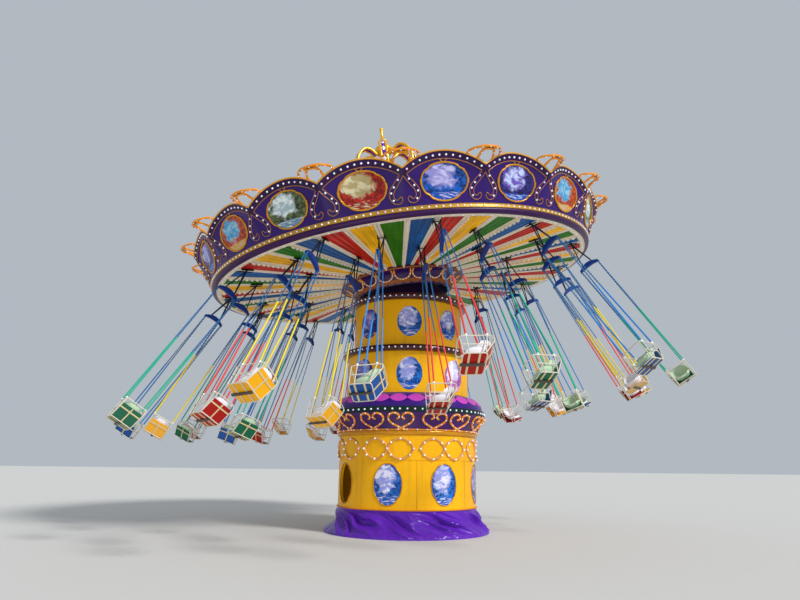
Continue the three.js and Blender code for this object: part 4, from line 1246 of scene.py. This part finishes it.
# Edge of the fascia: a bright gold bead screwed along the arches, a lamp strip below it, and
# copper tube that runs under the strip and is bent down beside each valley into a teardrop hook.
BEAD_R = 0.015
BEAD_LIFT = 0.014
STRIP_DEPTH = 0.12
STRIP_BACK = -0.004
STRIP_FRONT = 0.006
LAMPS_PER_PANEL = 12
FIRST_VALLEY = PANEL_AZIMUTH + PANEL_PITCH / 2
edge_gold = paint("edge_gold", "d89c38", drift=0.1, streaks=0.05, gloss=0.26, peel=100,
                  bump=0.04, metallic=0.2)
copper = paint("copper_tube", "a06a3c", drift=0.1, streaks=0.08, gloss=0.3, peel=100,
               bump=0.04, metallic=0.2)
bead, strip_sections = [], []
for k in range(fascia_columns):
    azimuth = FIRST_VALLEY + 360 * k / fascia_columns
    lay = on_fascia(azimuth)
    top = edge_height(azimuth)
    low = top - STRIP_DEPTH
    bead.append(lay(0, top + BEAD_LIFT))
    strip_sections.append([lay(0, low, STRIP_BACK), lay(0, low, STRIP_FRONT),
                           lay(0, top, STRIP_FRONT), lay(0, top, STRIP_BACK)])
edge_bead = rods("edge_bead", [bead], BEAD_R, edge_gold, closed=True, Step=0.03)
strip_plum = paint("strip_plum", "280a3e", drift=0.15, streaks=0.05, gloss=0.3)
lamp_strip = finished(bar_through("strip", strip_sections, closed=True), strip_plum)

HOOK_OUTER = [(0.058, 0.612), (0.105, 0.56), (0.185, 0.48), (0.24, 0.41), (0.254, 0.335), (0.234, 0.265),
              (0.185, 0.215), (0.125, 0.2), (0.075, 0.215), (0.045, 0.25), (0.048, 0.285), (0.07, 0.302),
              (0.092, 0.29)]
HOOK_INNER = [(0.0, 0.59), (0.05, 0.525), (0.105, 0.46), (0.16, 0.4), (0.185, 0.345), (0.18, 0.3),
              (0.152, 0.266), (0.122, 0.264), (0.1, 0.278), (0.092, 0.29)]
HOOK_LAMPS = [(0.088, 0.548), (0.165, 0.455), (0.219, 0.375), (0.196, 0.262)]
COPPER_R = 0.008
COPPER_REACH = 8.2
lay_valley = on_fascia(FIRST_VALLEY)
lay_panel = on_fascia(PANEL_AZIMUTH)
under_strip = []
for off in steps_between(-COPPER_REACH, COPPER_REACH, 40):
    azimuth = PANEL_AZIMUTH + off
    under_strip.append(on_fascia(azimuth)(0, edge_height(azimuth) - STRIP_DEPTH, 0.008))
hooks, hook_lamps = [], []
for side in (-1, 1):
    for path in (HOOK_OUTER, HOOK_INNER):
        hooks.append([lay_valley(side * x, u, 0.007) for x, u in eased(path, 4)])
    hook_lamps += [lay_valley(side * x, u, 0.008) for x, u in HOOK_LAMPS]
copper_lines = rods("copper_lines", [under_strip] + hooks, COPPER_R, copper, Step=0.026, Strands=3)
crown_piece(round_axis("hooks", copper_lines, PANELS), "gold_paint")
strip_lamps = []
for k in range(LAMPS_PER_PANEL):
    azimuth = PANEL_AZIMUTH + PANEL_PITCH * ((k + 0.5) / LAMPS_PER_PANEL - 0.5) * 0.98
    strip_lamps.append(on_fascia(azimuth)(0, edge_height(azimuth) - STRIP_DEPTH / 2, 0.012))
panel_lamps = lamps("panel_lamps", strip_lamps + hook_lamps, 0.0185)
crown_piece(round_axis("fascia_lamps", panel_lamps, PANELS), "cream_paint")

# Arches: over every valley a wide and a narrow gilt tube are bent outward and welded to a pointed
# plate with a dark lens in its underside; lamps sit along the underside of the tubes.
ARCH_OUT_R = 4.735
ARCH_RISE = 0.905
ARCH_TUBE_R = 0.021
WIDE_FOOT = 3.8
WIDE_LAMPS = 7
NARROW_FOOT = 1.8
NARROW_LAMPS = 2
PLATE_HALF_W = 0.185
PLATE_HALF_D = 0.052
LENS_HALF_W = 0.07
LENS_HALF_D = 0.024
LENS_SHARP = 1.5
arch_gilt = paint("arch_gilt", "e08a1c", drift=0.1, streaks=0.05, gloss=0.34, peel=120, bump=0.04)
lens_dark = paint("lens_dark", "2a1018", streaks=0, gloss=0.2, coat=0.6)
to_valley = Matrix.Rotation(math.radians(FIRST_VALLEY), 4, "Z")


def arch_path(foot_deg, onward):
    """A tube's line from its foot on the bead out to the plate, and the mirrored way back."""
    azimuth = FIRST_VALLEY + foot_deg
    foot = to_valley.inverted() @ on_fascia(azimuth)(0, edge_height(azimuth) + 0.01)
    half = [foot] + [Vector((r, part * foot.y, u)) for r, part, u in onward]
    path = half + [Vector((p.x, -p.y, p.z)) for p in reversed(half)]
    return [to_valley @ p for p in eased(path, 6)]


def lay_lens(x, y, proud=0.0):
    """Lays flat places on the underside of the plate, facing down."""
    return to_valley @ Vector((ARCH_OUT_R - 0.03 + y, x, ARCH_RISE - 0.016 - proud))


wide_onward = [(4.559, 0.94, 0.918), (4.69, 0.62, ARCH_RISE), (ARCH_OUT_R, 0.25, ARCH_RISE)]
wide_arch = arch_path(WIDE_FOOT, wide_onward)
narrow_arch = arch_path(NARROW_FOOT, [(4.6, 0.85, 0.85), (4.68, 0.5, 0.882)])
arch_tubes = rods("arch", [wide_arch, narrow_arch], ARCH_TUBE_R, arch_gilt, Step=0.03, Strands=4)
plate_outline = pointed_oval(PLATE_HALF_W, PLATE_HALF_D, 40, LENS_SHARP)
plate = sheet_inside("plate", plate_outline, lay_lens, 0.0, rings=3, depth=0.028)
lens_outline = pointed_oval(LENS_HALF_W, LENS_HALF_D, 40, LENS_SHARP)
lens = sheet_inside("lens", lens_outline, lay_lens, 0.006, rings=2, depth=0.01)
arch = joined("arch", arch_tubes, finished(plate, arch_gilt), finished(lens, lens_dark))
crown_piece(round_axis("arches", arch, PANELS), "gold_paint", "edge_trim")
crown_piece(joined("edge_trim", edge_bead, lamp_strip), "gold_paint", "edge_trim")
lamp_drop = Vector((0, 0, -0.018))
arch_lamps = [p + lamp_drop for p in evenly(wide_arch, WIDE_LAMPS) + evenly(narrow_arch, NARROW_LAMPS)]
crown_piece(round_axis("arch_lamps", lamps("arch_lamps", arch_lamps, 0.013), PANELS), "cream_paint")

# Medallions: one on every panel, a painted view in a gold frame with notches, with ears at the
# sides and two straps that hang it from the lamp strip. Five colourings follow each other round.
MEDALLION_U = 0.495
MEDALLION_W = 0.385
MEDALLION_H = 0.29
RIM_OPENING = 0.6
FRAME_R = 0.0155
EAR_R = 0.021
EAR_HALF = 0.042
STRAP_R = 0.007
medallion = notched_oval(MEDALLION_W, MEDALLION_H, 72)


def lay_medallion(x, y, proud=0.0):
    """Lays flat places on the first panel, about the middle of its medallion."""
    return lay_panel(x, MEDALLION_U + y, proud)


RIM_VIEWS = (
    picture("autumn_view", RIM_OPENING, Sky="a89868", Cloud="d4c8a0", Ridge="b02014", Water="8c1814",
            Leaves="6c0c08"),
    picture("lilac_view", RIM_OPENING, Sky="8480bc", Cloud="b8b4dc", Ridge="0c58b8", Water="0848a0",
            Leaves="0a2058"),
    picture("cascade_view", RIM_OPENING, Sky="6450a4", Cloud="b4c0e4", Ridge="302478", Water="1444a0",
            Leaves="10142c"),
    picture("evening_view", RIM_OPENING, Sky="3c8cbc", Cloud="88b8cc", Ridge="b84814", Water="c89030",
            Leaves="782410"),
    picture("meadow_view", RIM_OPENING, Sky="a0b4b8", Cloud="dce4e4", Ridge="5c6c40", Water="64849c",
            Leaves="2c3424"),
)
for k, view_look in enumerate(RIM_VIEWS):
    sheet = finished(sheet_inside("view", medallion, lay_medallion, 0.008, rings=7), view_look)
    sheets = round_axis(f"medallion_views_{k + 1}", sheet, PANELS // len(RIM_VIEWS), PANEL_PITCH * k)
    crown_piece(sheets, "cream_paint")
frame_path = [lay_medallion(x * 1.02, y * 1.03, 0.009) for x, y in medallion]
ears, straps = [], []
for side in (-1, 1):
    ears.append([lay_medallion(side * (MEDALLION_W + 0.01), y, 0.01) for y in (-EAR_HALF, EAR_HALF)])
    straps.append([lay_medallion(side * 0.012, MEDALLION_H + 0.008, 0.009),
                   lay_medallion(side * 0.062, MEDALLION_H + 0.062, 0.009)])
frames = joined("frame", rods("frame", [frame_path], FRAME_R, gold_trim, closed=True, Step=0.025),
                rods("ears", ears, EAR_R, gold_trim, Step=0.05),
                rods("straps", straps, STRAP_R, gold_trim, Step=0.05))
crown_piece(round_axis("medallion_frames", frames, PANELS), "gold_paint")

# Roof: a purple cone of forty tapered sheets that grows steeper towards the top. The sheets are
# folded together in standing seams that run down to the fascia.
ROOF_FACE = [(4.175, 0.22), (2.4, 1.1), (1.3, 1.85), (0.95, 2.35)]
ROOF_FOOT = 0.1503
ROOF_SEAMS = 40
SEAM_R = 0.011
roof_foot = [(4.135, ROOF_FOOT), (4.175, ROOF_FOOT)]
roof_inside = [(0.001, 2.35), (0.001, 2.31), (0.92, 2.31), (1.27, 1.8), (2.38, 1.05), (4.13, 0.2)]
roof_purple = paint("roof_purple", "43207a", drift=0.16, streaks=0.2, gloss=0.42, peel=30)
roof = turned("roof", roof_foot + ROOF_FACE + roof_inside, 160)
crown_piece(roof, "purple_paint", "roof", materials=[roof_purple])
seam = rods("seam", [[(r, 0, u + 0.004) for r, u in ROOF_FACE]], SEAM_R, roof_purple, Step=0.1)
crown_piece(round_axis("roof_seams", seam, ROOF_SEAMS), "purple_paint")

# Finial: post, onion, collar and spike, turned in one piece and gilded. It stands on a round foot
# on the flat top of the roof.
FINIAL_FOOT = 2.3503
FINIAL_SIDE = [(0.16, 2.5), (0.12, 2.7), (0.12, 3.04), (0.15, 3.06), (0.15, 3.1), (0.06, 3.13), (0.062, 3.17),
               (0.195, 3.29), (0.222, 3.36), (0.195, 3.435), (0.12, 3.49), (0.096, 3.525), (0.124, 3.585),
               (0.112, 3.615), (0.06, 3.665), (0.037, 3.74), (0.035, 3.86), (0.041, 3.93), (0.03, 3.965),
               (0.001, 3.98)]
finial_gold = paint("finial_gold", "f0b010", drift=0.1, streaks=0.06, gloss=0.24, peel=60, bump=0.03,
                    metallic=0.4, coat=0.4)
finial_outline = [(0.001, FINIAL_FOOT), (0.42, FINIAL_FOOT), (0.42, 2.43)] + eased(FINIAL_SIDE, 5)
crown_piece(turned("finial", finial_outline, 72), "gold_paint", "finial", materials=[finial_gold])

# Crown scrolls: six ribbons of bent sheet that rise from a ring round the finial and bend in over
# it, purple with broad gilt edges and a row of white and violet cut stones down the outer face.
SCROLLS = 6
SCROLL_AZIMUTH = -92
SCROLL_PATH = [(0.75, 2.38), (0.785, 2.7), (0.775, 2.96), (0.715, 3.14), (0.615, 3.27), (0.49, 3.335),
               (0.35, 3.29), (0.24, 3.19)]
RIBBON_HALF_W = 0.055
RIBBON_HALF_T = 0.014
EDGE_TUBE_R = 0.032
EDGE_TUBE_OUT = 0.012
STONE_HALF_W = 0.044
STONE_HALF_L = 0.075
STONE_HEIGHT = 0.022
scroll = eased(SCROLL_PATH, 5)


def out_of_scroll(k, proud):
    """A place over the ribbon's outer face and the way the ribbon runs there."""
    way = (scroll[min(k + 1, len(scroll) - 1)] - scroll[max(k - 1, 0)]).normalized()
    return scroll[k] + Vector((way.y, -way.x)) * proud, way


ribbon_sections = []
for k in range(len(scroll)):
    outer, inner = out_of_scroll(k, RIBBON_HALF_T)[0], out_of_scroll(k, -RIBBON_HALF_T)[0]
    corners = ((-1, outer), (1, outer), (1, inner), (-1, inner))
    ribbon_sections.append([(p.x, side * RIBBON_HALF_W, p.y) for side, p in corners])
ribbon = finished(bar_through("ribbon", ribbon_sections), paint("ribbon_purple", "5a1ea0", gloss=0.3))
edge_y = RIBBON_HALF_W + EDGE_TUBE_OUT
scroll_edges = [[(p.x, side * edge_y, p.y) for p in scroll] for side in (-1, 1)]
edge_tubes = rods("edge_tubes", scroll_edges, EDGE_TUBE_R, finial_gold, Step=0.03, Strands=8)
stone_violet = paint("stone_violet", "5a18b8", streaks=0, gloss=0.14, coat=0.6)
stone_white = paint("stone_white", "efe9f0", streaks=0, gloss=0.2, coat=0.4)


def cut_stone(k, material):
    """Four-sided pointed stone on the ribbon's outer face."""
    middle, way = out_of_scroll(k, RIBBON_HALF_T)
    top = out_of_scroll(k, RIBBON_HALF_T + STONE_HEIGHT)[0]
    run, rise = way.x * STONE_HALF_L, way.y * STONE_HALF_L
    corners = [(middle.x, -STONE_HALF_W, middle.y), (middle.x + run, 0, middle.y + rise),
               (middle.x, STONE_HALF_W, middle.y), (middle.x - run, 0, middle.y - rise),
               (top.x, 0, top.y)]
    mesh = bpy.data.meshes.new("stone")
    mesh.from_pydata(corners, [], [(0, 1, 2, 3), (0, 1, 4), (1, 2, 4), (2, 3, 4), (3, 0, 4)])
    return finished(shaded(mesh, crease=5), material)


jewels = [cut_stone(k, stone_violet if k % 2 else stone_white) for k in range(3, len(scroll) - 2, 3)]
scroll_set = joined("scroll", ribbon, edge_tubes, *jewels)
crown_piece(round_axis("scrolls", scroll_set, SCROLLS, SCROLL_AZIMUTH), "gold_paint", "crown_scrolls")
ring_side = [(0.62, FINIAL_FOOT), (0.94, FINIAL_FOOT), (0.94, 2.39), (0.92, 2.41), (0.62, 2.41)]
scroll_ring = turned("scroll_ring", ring_side, 96)
crown_piece(scroll_ring, "gold_paint", "crown_scrolls", materials=[finial_gold])

# Anchors: two black cheek plates with their end blocks, bolted up under the deck, hold each
# chair's pin. Three rings of twelve: name, radius of the pins, azimuth of the first chair, outward
# swing, and the first chair's place in the row of colours.
RINGS = (("outer", 3.83, -80.8, 32.5, 2), ("middle", 3.33, -96, 28.2, 3), ("inner", 2.44, -80.9, 20.7, 2))
CHAIRS_PER_RING = 12
PIN_HEIGHT = -0.0083
CHEEK_TOP = 0.024

# Half length, inner face, outer face and underside of a cheek plate and of an end block
CHEEK = (0.125, 0.052, 0.059, -0.02)
END_BLOCK = (0.026, 0.0595, 0.076, -0.022)
anchor_black = paint("anchor_black", "14181f", streaks=0.1, gloss=0.4)


def block(name, low, high, material, place=None):
    """A squared plate or bar between two corners."""
    corners = [(x, y, z) for x in (low[0], high[0]) for y in (low[1], high[1]) for z in (low[2], high[2])]
    mesh = bpy.data.meshes.new(name)
    faces = [(0, 1, 3, 2), (4, 6, 7, 5), (0, 4, 5, 1), (2, 3, 7, 6), (0, 2, 6, 4), (1, 5, 7, 3)]
    mesh.from_pydata(corners, [], faces)
    if place:
        mesh.transform(place)
    return finished(shaded(mesh), material)


cheeks = []
for side in (-1, 1):
    for half, near, far, low in (CHEEK, END_BLOCK):
        across = sorted((side * near, side * far))
        cheeks.append(block("cheek", (-half, across[0], low), (half, across[1], CHEEK_TOP), anchor_black))
anchor = joined("anchor", *cheeks)
anchor_rings = []
for ring_name, pin_r, first_deg, _, _ in RINGS:
    moved = anchor.copy()
    moved.transform(Matrix.Translation((pin_r, 0, 0)))
    anchor_rings.append(round_axis("anchors", moved, CHAIRS_PER_RING, first_deg))
crown_piece(joined("anchors", *anchor_rings), "steel")

# Chairs: two pairs of dark rods hang from a pin and carry a crescent spreader welded from blue
# steel plate. Four chains run from its tips to the chair's rail, and each wears a coloured plastic
# sleeve over its lower half.
SPREADER_TIP = 0.197
SPREADER_EDGE = [(-0.222, -0.64), (-0.212, -0.606), (-0.165, -0.566), (-0.09, -0.53), (-0.03, -0.516),
                 (0.03, -0.516), (0.09, -0.53), (0.165, -0.566), (0.212, -0.606), (0.222, -0.64),
                 (0.18, -0.632), (0.09, -0.614), (-0.09, -0.614), (-0.18, -0.632)]
SPREADER_HALF_T = 0.03
HANGER_R = 0.0115
HANGER_TOP = -0.007
HANGER_FOOT = -0.535
PIN_R = 0.0075
PIN_HALF = 0.06
RAIL_Z = -3.16
FLOOR_Z = -3.48
HALF_W = 0.18
FRONT_Y = -0.228
REAR_Y = 0.055
BACK_TOP = (0.21, -3.255)
RAIL_REAR_Y = 0.215
CHAIN_TOP = -0.6
CHAIN_FOOT_Y = 0.134
CHAIN_EYE = 0.012
SLEEVE_FROM = 0.5
SLEEVE_R = 0.0135
EYELET_R = 0.02
TUBE_R = 0.0082
LINK_PITCH = 0.03
LINK_HALF = (0.0102, 0.0216, 1)
LINK_WIRE_R = 0.0064
rod_dark = paint("rod_dark", "10263f", streaks=0.05, gloss=0.4)
spreader_blue = paint("spreader_blue", "08307a", drift=0.12, streaks=0.06, gloss=0.34)
chain_blue = paint("chain_blue", "2c6ea6", drift=0.1, streaks=0, gloss=0.35)
frame_cream = paint("frame_cream", "d0cab8", drift=0.08, streaks=0.05, gloss=0.34)
eyelet_white = paint("eyelet_white", "f0efea", drift=0.05, streaks=0, gloss=0.35)

# Chain: oval links set along lines, every second one a quarter turn round
links_on_lines, given, result = geometry_tree("links_on_lines", [("Pitch", FLOAT, LINK_PITCH), FINISH])
line = node(links_on_lines, "GeometryNodeMeshToCurve", {"Mesh": given["Geometry"]})
spots_in = node(links_on_lines, "GeometryNodeCurveToPoints",
                {"Curve": line.outputs[0], "Length": given["Pitch"]}, mode="LENGTH")
lengthways = node(links_on_lines, "FunctionNodeAlignRotationToVector",
                  {"Vector": spots_in.outputs["Tangent"]}, axis="Z")
number = node(links_on_lines, "GeometryNodeInputIndex")
quarter = node(links_on_lines, "ShaderNodeMath",
               {0: number.outputs[0], 1: math.pi / 2}, operation="MULTIPLY")
roll = node(links_on_lines, "FunctionNodeAxisAngleToRotation",
            {"Axis": (0, 0, 1), "Angle": quarter.outputs[0]})
rolled = node(links_on_lines, "FunctionNodeRotateRotation",
              {"Rotation": lengthways.outputs[0], "Rotate By": roll.outputs[0]}, rotation_space="LOCAL")
circle = node(links_on_lines, "GeometryNodeCurvePrimitiveCircle", {"Resolution": 6, "Radius": 1})
oval = node(links_on_lines, "GeometryNodeTransform",
            {"Geometry": circle.outputs[0], "Rotation": (math.pi / 2, 0, 0), "Scale": LINK_HALF})
wire = node(links_on_lines, "GeometryNodeCurvePrimitiveCircle", {"Resolution": 3, "Radius": LINK_WIRE_R})
link = node(links_on_lines, "GeometryNodeCurveToMesh",
            {"Curve": oval.outputs[0], "Profile Curve": wire.outputs[0]})
links = node(links_on_lines, "GeometryNodeInstanceOnPoints",
             {"Points": spots_in.outputs[0], "Instance": link.outputs[0], "Rotation": rolled.outputs[0]})
close_tree(links_on_lines, links.outputs[0], given, result)

hanger_pin = [(0, -PIN_HALF, 0), (0, PIN_HALF, 0)]
hanger_rods = [[(0, side * 0.045, HANGER_TOP), (end * 0.105, side * 0.014, HANGER_FOOT)]
               for end in (-1, 1) for side in (-1, 1)]
chain_runs = []
for x in (-1, 1):
    for y in (-1, 1):
        top = Vector((x * SPREADER_TIP, y * 0.02, CHAIN_TOP))
        chain_runs.append((top, Vector((x * HALF_W, y * CHAIN_FOOT_Y, RAIL_Z + CHAIN_EYE))))
upper_halves = [[top, top.lerp(foot, SLEEVE_FROM)] for top, foot in chain_runs]
lower_halves = [[top.lerp(foot, SLEEVE_FROM), foot] for top, foot in chain_runs]
edge = len(SPREADER_EDGE)
spreader_points = [(x, y, z) for y in (-SPREADER_HALF_T, SPREADER_HALF_T) for x, z in SPREADER_EDGE]
spreader_faces = [tuple(range(edge)), tuple(range(edge, 2 * edge))]
for k in range(edge):
    after = (k + 1) % edge
    spreader_faces.append((k, after, edge + after, edge + k))
spreader = bpy.data.meshes.new("spreader")
spreader.from_pydata(spreader_points, [], spreader_faces)


# Chair frame: cream steel tube, bent and welded. A rounded loop runs round the top, on posts at
# the front and beside the chains. Two tubes follow the slanting back down to the loop of the
# floor, and a rail runs half-way up at each side.
def rounded_loop(half_w, front, rear, z, corner=0.05):
    """A level loop with rounded corners."""
    points = []
    middles = ((half_w - corner, rear - corner), (corner - half_w, rear - corner),
               (corner - half_w, front + corner), (half_w - corner, front + corner))
    for turn, (cx, cy) in enumerate(middles):
        for step in range(4):
            angle = math.radians(90 * turn + 30 * step)
            points.append((cx + corner * math.cos(angle), cy + corner * math.sin(angle), z))
    return points


SIDE_RAIL_Z = -3.32
frame_loops = [rounded_loop(HALF_W, FRONT_Y, RAIL_REAR_Y, RAIL_Z),
               rounded_loop(HALF_W, FRONT_Y, REAR_Y + 0.02, FLOOR_Z, 0.03)]
frame_lines = []
for x in (-HALF_W, HALF_W):
    frame_lines += [
        [(x * 0.95, FRONT_Y + 0.012, RAIL_Z), (x * 0.97, FRONT_Y + 0.004, FLOOR_Z)],
        [(x, -CHAIN_FOOT_Y, RAIL_Z), (x, -0.15, FLOOR_Z)],
        [(x, CHAIN_FOOT_Y, RAIL_Z), (x, REAR_Y, FLOOR_Z)],
        [(x * 0.97, RAIL_REAR_Y - 0.01, RAIL_Z), (x, RAIL_REAR_Y + 0.004, RAIL_Z - 0.05),
         (x, *BACK_TOP), (x, REAR_Y, FLOOR_Z)],
        [(x, FRONT_Y + 0.01, SIDE_RAIL_Z), (x, 0.095, SIDE_RAIL_Z)],
    ]
loops = rods("loops", frame_loops, TUBE_R, frame_cream, closed=True, Step=0.04, Strands=3)
posts = rods("posts", frame_lines, TUBE_R, frame_cream, Step=0.06, Strands=3)
chair_frame = joined("chair_frame", loops, posts)

# Seat: trays of bent sheet for floor and back, riveted to cream flats, with a dark strap bar
# underneath and a moulded cushion. The chairs come in four colours.
SLANT = math.atan2(BACK_TOP[0] - REAR_Y, BACK_TOP[1] - FLOOR_Z)
BACK_LENGTH = math.hypot(BACK_TOP[0] - REAR_Y, BACK_TOP[1] - FLOOR_Z)
BACK = Matrix.Translation((0, REAR_Y, FLOOR_Z)) @ Matrix.Rotation(-SLANT, 4, "X")
FLAT_HALF_L = 0.176
FLAT_HALF_W = 0.013
FLAT_T = 0.008
TRAY_HALF_W = 0.172
TRAY_T = 0.016
BACK_TRAY_T = 0.014
SEAT_HALF_W = 0.15
SEAT_BULGE = 0.09
SEAT_T = 0.04
SEAT_ROUND = 0.6
flat_cream = paint("flat_cream", "cdb98c", drift=0.08, streaks=0.1, gloss=0.36)
flats = [block("flat", (-FLAT_HALF_L, y - FLAT_HALF_W, FLOOR_Z - FLAT_T),
               (FLAT_HALF_L, y + FLAT_HALF_W, FLOOR_Z), flat_cream) for y in (-0.15, -0.02)]
flats += [block("flat", (-0.01, 0, 0), (0.01, 0.009, BACK_LENGTH), flat_cream, BACK),
          block("flat", (-FLAT_HALF_L, 0, 0.196), (FLAT_HALF_L, FLAT_T, 0.218), flat_cream, BACK)]
strap_taupe = paint("strap_taupe", "4c443e", streaks=0.1, gloss=0.4)
strap_bar = block("strap_bar", (-0.02, FRONT_Y - 0.024, FLOOR_Z - 0.024), (0.02, REAR_Y, FLOOR_Z - FLAT_T),
                  strap_taupe)
SEAT_SIDE = [(-0.2, -3.4), (-0.08, -3.43), (0.03, -3.42), (0.1, -3.355), (0.16, -3.26), (0.195, -3.18)]
seat_line = eased(SEAT_SIDE, 4)


def lay_seat(x, y, proud=0.0):
    """Lays the cushion along the seat's side line, y from -1 at the front to 1 at its top."""
    at = (y + 1) / 2 * (len(seat_line) - 1)
    k = min(int(at), len(seat_line) - 2)
    way = (seat_line[k + 1] - seat_line[k]).normalized()
    middle = seat_line[k].lerp(seat_line[k + 1], at - k)
    height = proud + SEAT_BULGE * abs(x / SEAT_HALF_W) ** 3
    return Vector((x, middle.x - way.y * height, middle.y + way.x * height))


def squared(value):
    """A sine or cosine drawn out, which squares a round outline."""
    return math.copysign(abs(value) ** SEAT_ROUND, value)


seat_outline = []
for k in range(36):
    angle = math.pi * k / 18
    seat_outline.append((SEAT_HALF_W * squared(math.cos(angle)), squared(math.sin(angle))))
cushion_white = paint("cushion_white", "e9e7ec", drift=0.06, streaks=0, gloss=0.4, peel=25, bump=0.2)
cushion_green = paint("cushion_green", "b8cfae", drift=0.06, streaks=0, gloss=0.4, peel=25, bump=0.2)
CHAIR_COLOURS = (("green", "0a5c40", "28a488", cushion_green), ("yellow", "e8a60a", "e4cc34", cushion_white),
                 ("red", "a0100e", "e2483e", cushion_white), ("blue", "0d4a94", "3a86cc", cushion_green))
chair_looks = {}
for colour, panel_code, sleeve_code, cushion in CHAIR_COLOURS:
    panel = paint(f"{colour}_panel", panel_code, drift=0.1, streaks=0.08, gloss=0.34)
    sleeve = paint(f"{colour}_sleeve", sleeve_code, drift=0.06, streaks=0, gloss=0.42)
    hung = [
        rods("pin", [hanger_pin], PIN_R, rod_dark, Step=1, Strands=4),
        rods("rods", hanger_rods, HANGER_R, rod_dark, Step=1, Strands=4),
        finished(shaded(spreader.copy()), spreader_blue),
        grown("chains", lines("chains", upper_halves), links_on_lines, Finish=chain_blue),
        rods("sleeves", lower_halves, SLEEVE_R, sleeve, Step=2, Strands=4),
        chair_frame.copy(),
        strap_bar.copy(),
        grown("eyelets", lines("eyelets", [[foot] for _, foot in chain_runs]), caps_on_spots,
              Radius=EYELET_R, Finish=eyelet_white),
        block("floor", (-TRAY_HALF_W, FRONT_Y + 0.004, FLOOR_Z), (TRAY_HALF_W, REAR_Y, FLOOR_Z + TRAY_T),
              panel),
        block("back", (-TRAY_HALF_W, -BACK_TRAY_T, 0.002), (TRAY_HALF_W, 0, BACK_LENGTH), panel, BACK),
        finished(sheet_inside("cushion", seat_outline, lay_seat, 0.03, rings=4, depth=SEAT_T), cushion),
    ]
    chair_looks[colour] = joined("chair", *hung, *(flat.copy() for flat in flats))

# Hanging the chairs: each goes up with its pin between two cheek plates, and the turning flings
# all of them out. Those near one azimuth swing out further, and those near another trail behind
# their pins.
NEAR_FLING = 5
NEAR_AZIMUTH = -84
NEAR_SHARP = 4
TRAIL = 3.3
TRAIL_AZIMUTH = -112
TRAIL_SHARP = 8


def near_to(azimuth_deg, angle):
    """One at an azimuth and less away from it."""
    return max(0, math.cos(angle - math.radians(azimuth_deg)))


for ring_name, pin_r, first_deg, fling_deg, first_colour in RINGS:
    for k in range(CHAIRS_PER_RING):
        angle = math.radians(first_deg + 360 / CHAIRS_PER_RING * k)
        outward = LEAN @ Vector((math.cos(angle), math.sin(angle), 0))
        level = Vector((outward.x, outward.y, 0)).normalized()
        fling = math.radians(fling_deg + NEAR_FLING * near_to(NEAR_AZIMUTH, angle) ** NEAR_SHARP)
        trail = math.radians(TRAIL * near_to(TRAIL_AZIMUTH, angle) ** TRAIL_SHARP)
        hang = (level * math.sin(fling) - Vector((0, 0, math.cos(fling)))) * math.cos(trail)
        hang = LEAN.inverted() @ (hang + Vector((-level.y, level.x, 0)) * math.sin(trail))
        turn = Vector((0, 0, -1)).rotation_difference(hang).to_matrix().to_4x4()
        pin_place = Matrix.Translation((pin_r * math.cos(angle), pin_r * math.sin(angle), PIN_HEIGHT))
        colour = CHAIR_COLOURS[(first_colour + k) % len(CHAIR_COLOURS)][0]
        chair = chair_looks[colour].copy()
        chair.transform(CROWN @ pin_place @ turn @ Matrix.Rotation(angle, 4, "Z"))
        body = f"chair_{ring_name}_{k + 1:02d}"
        chair.name = body
        piece(chair, body, f"chair_{colour}", f"{body}_{colour}")
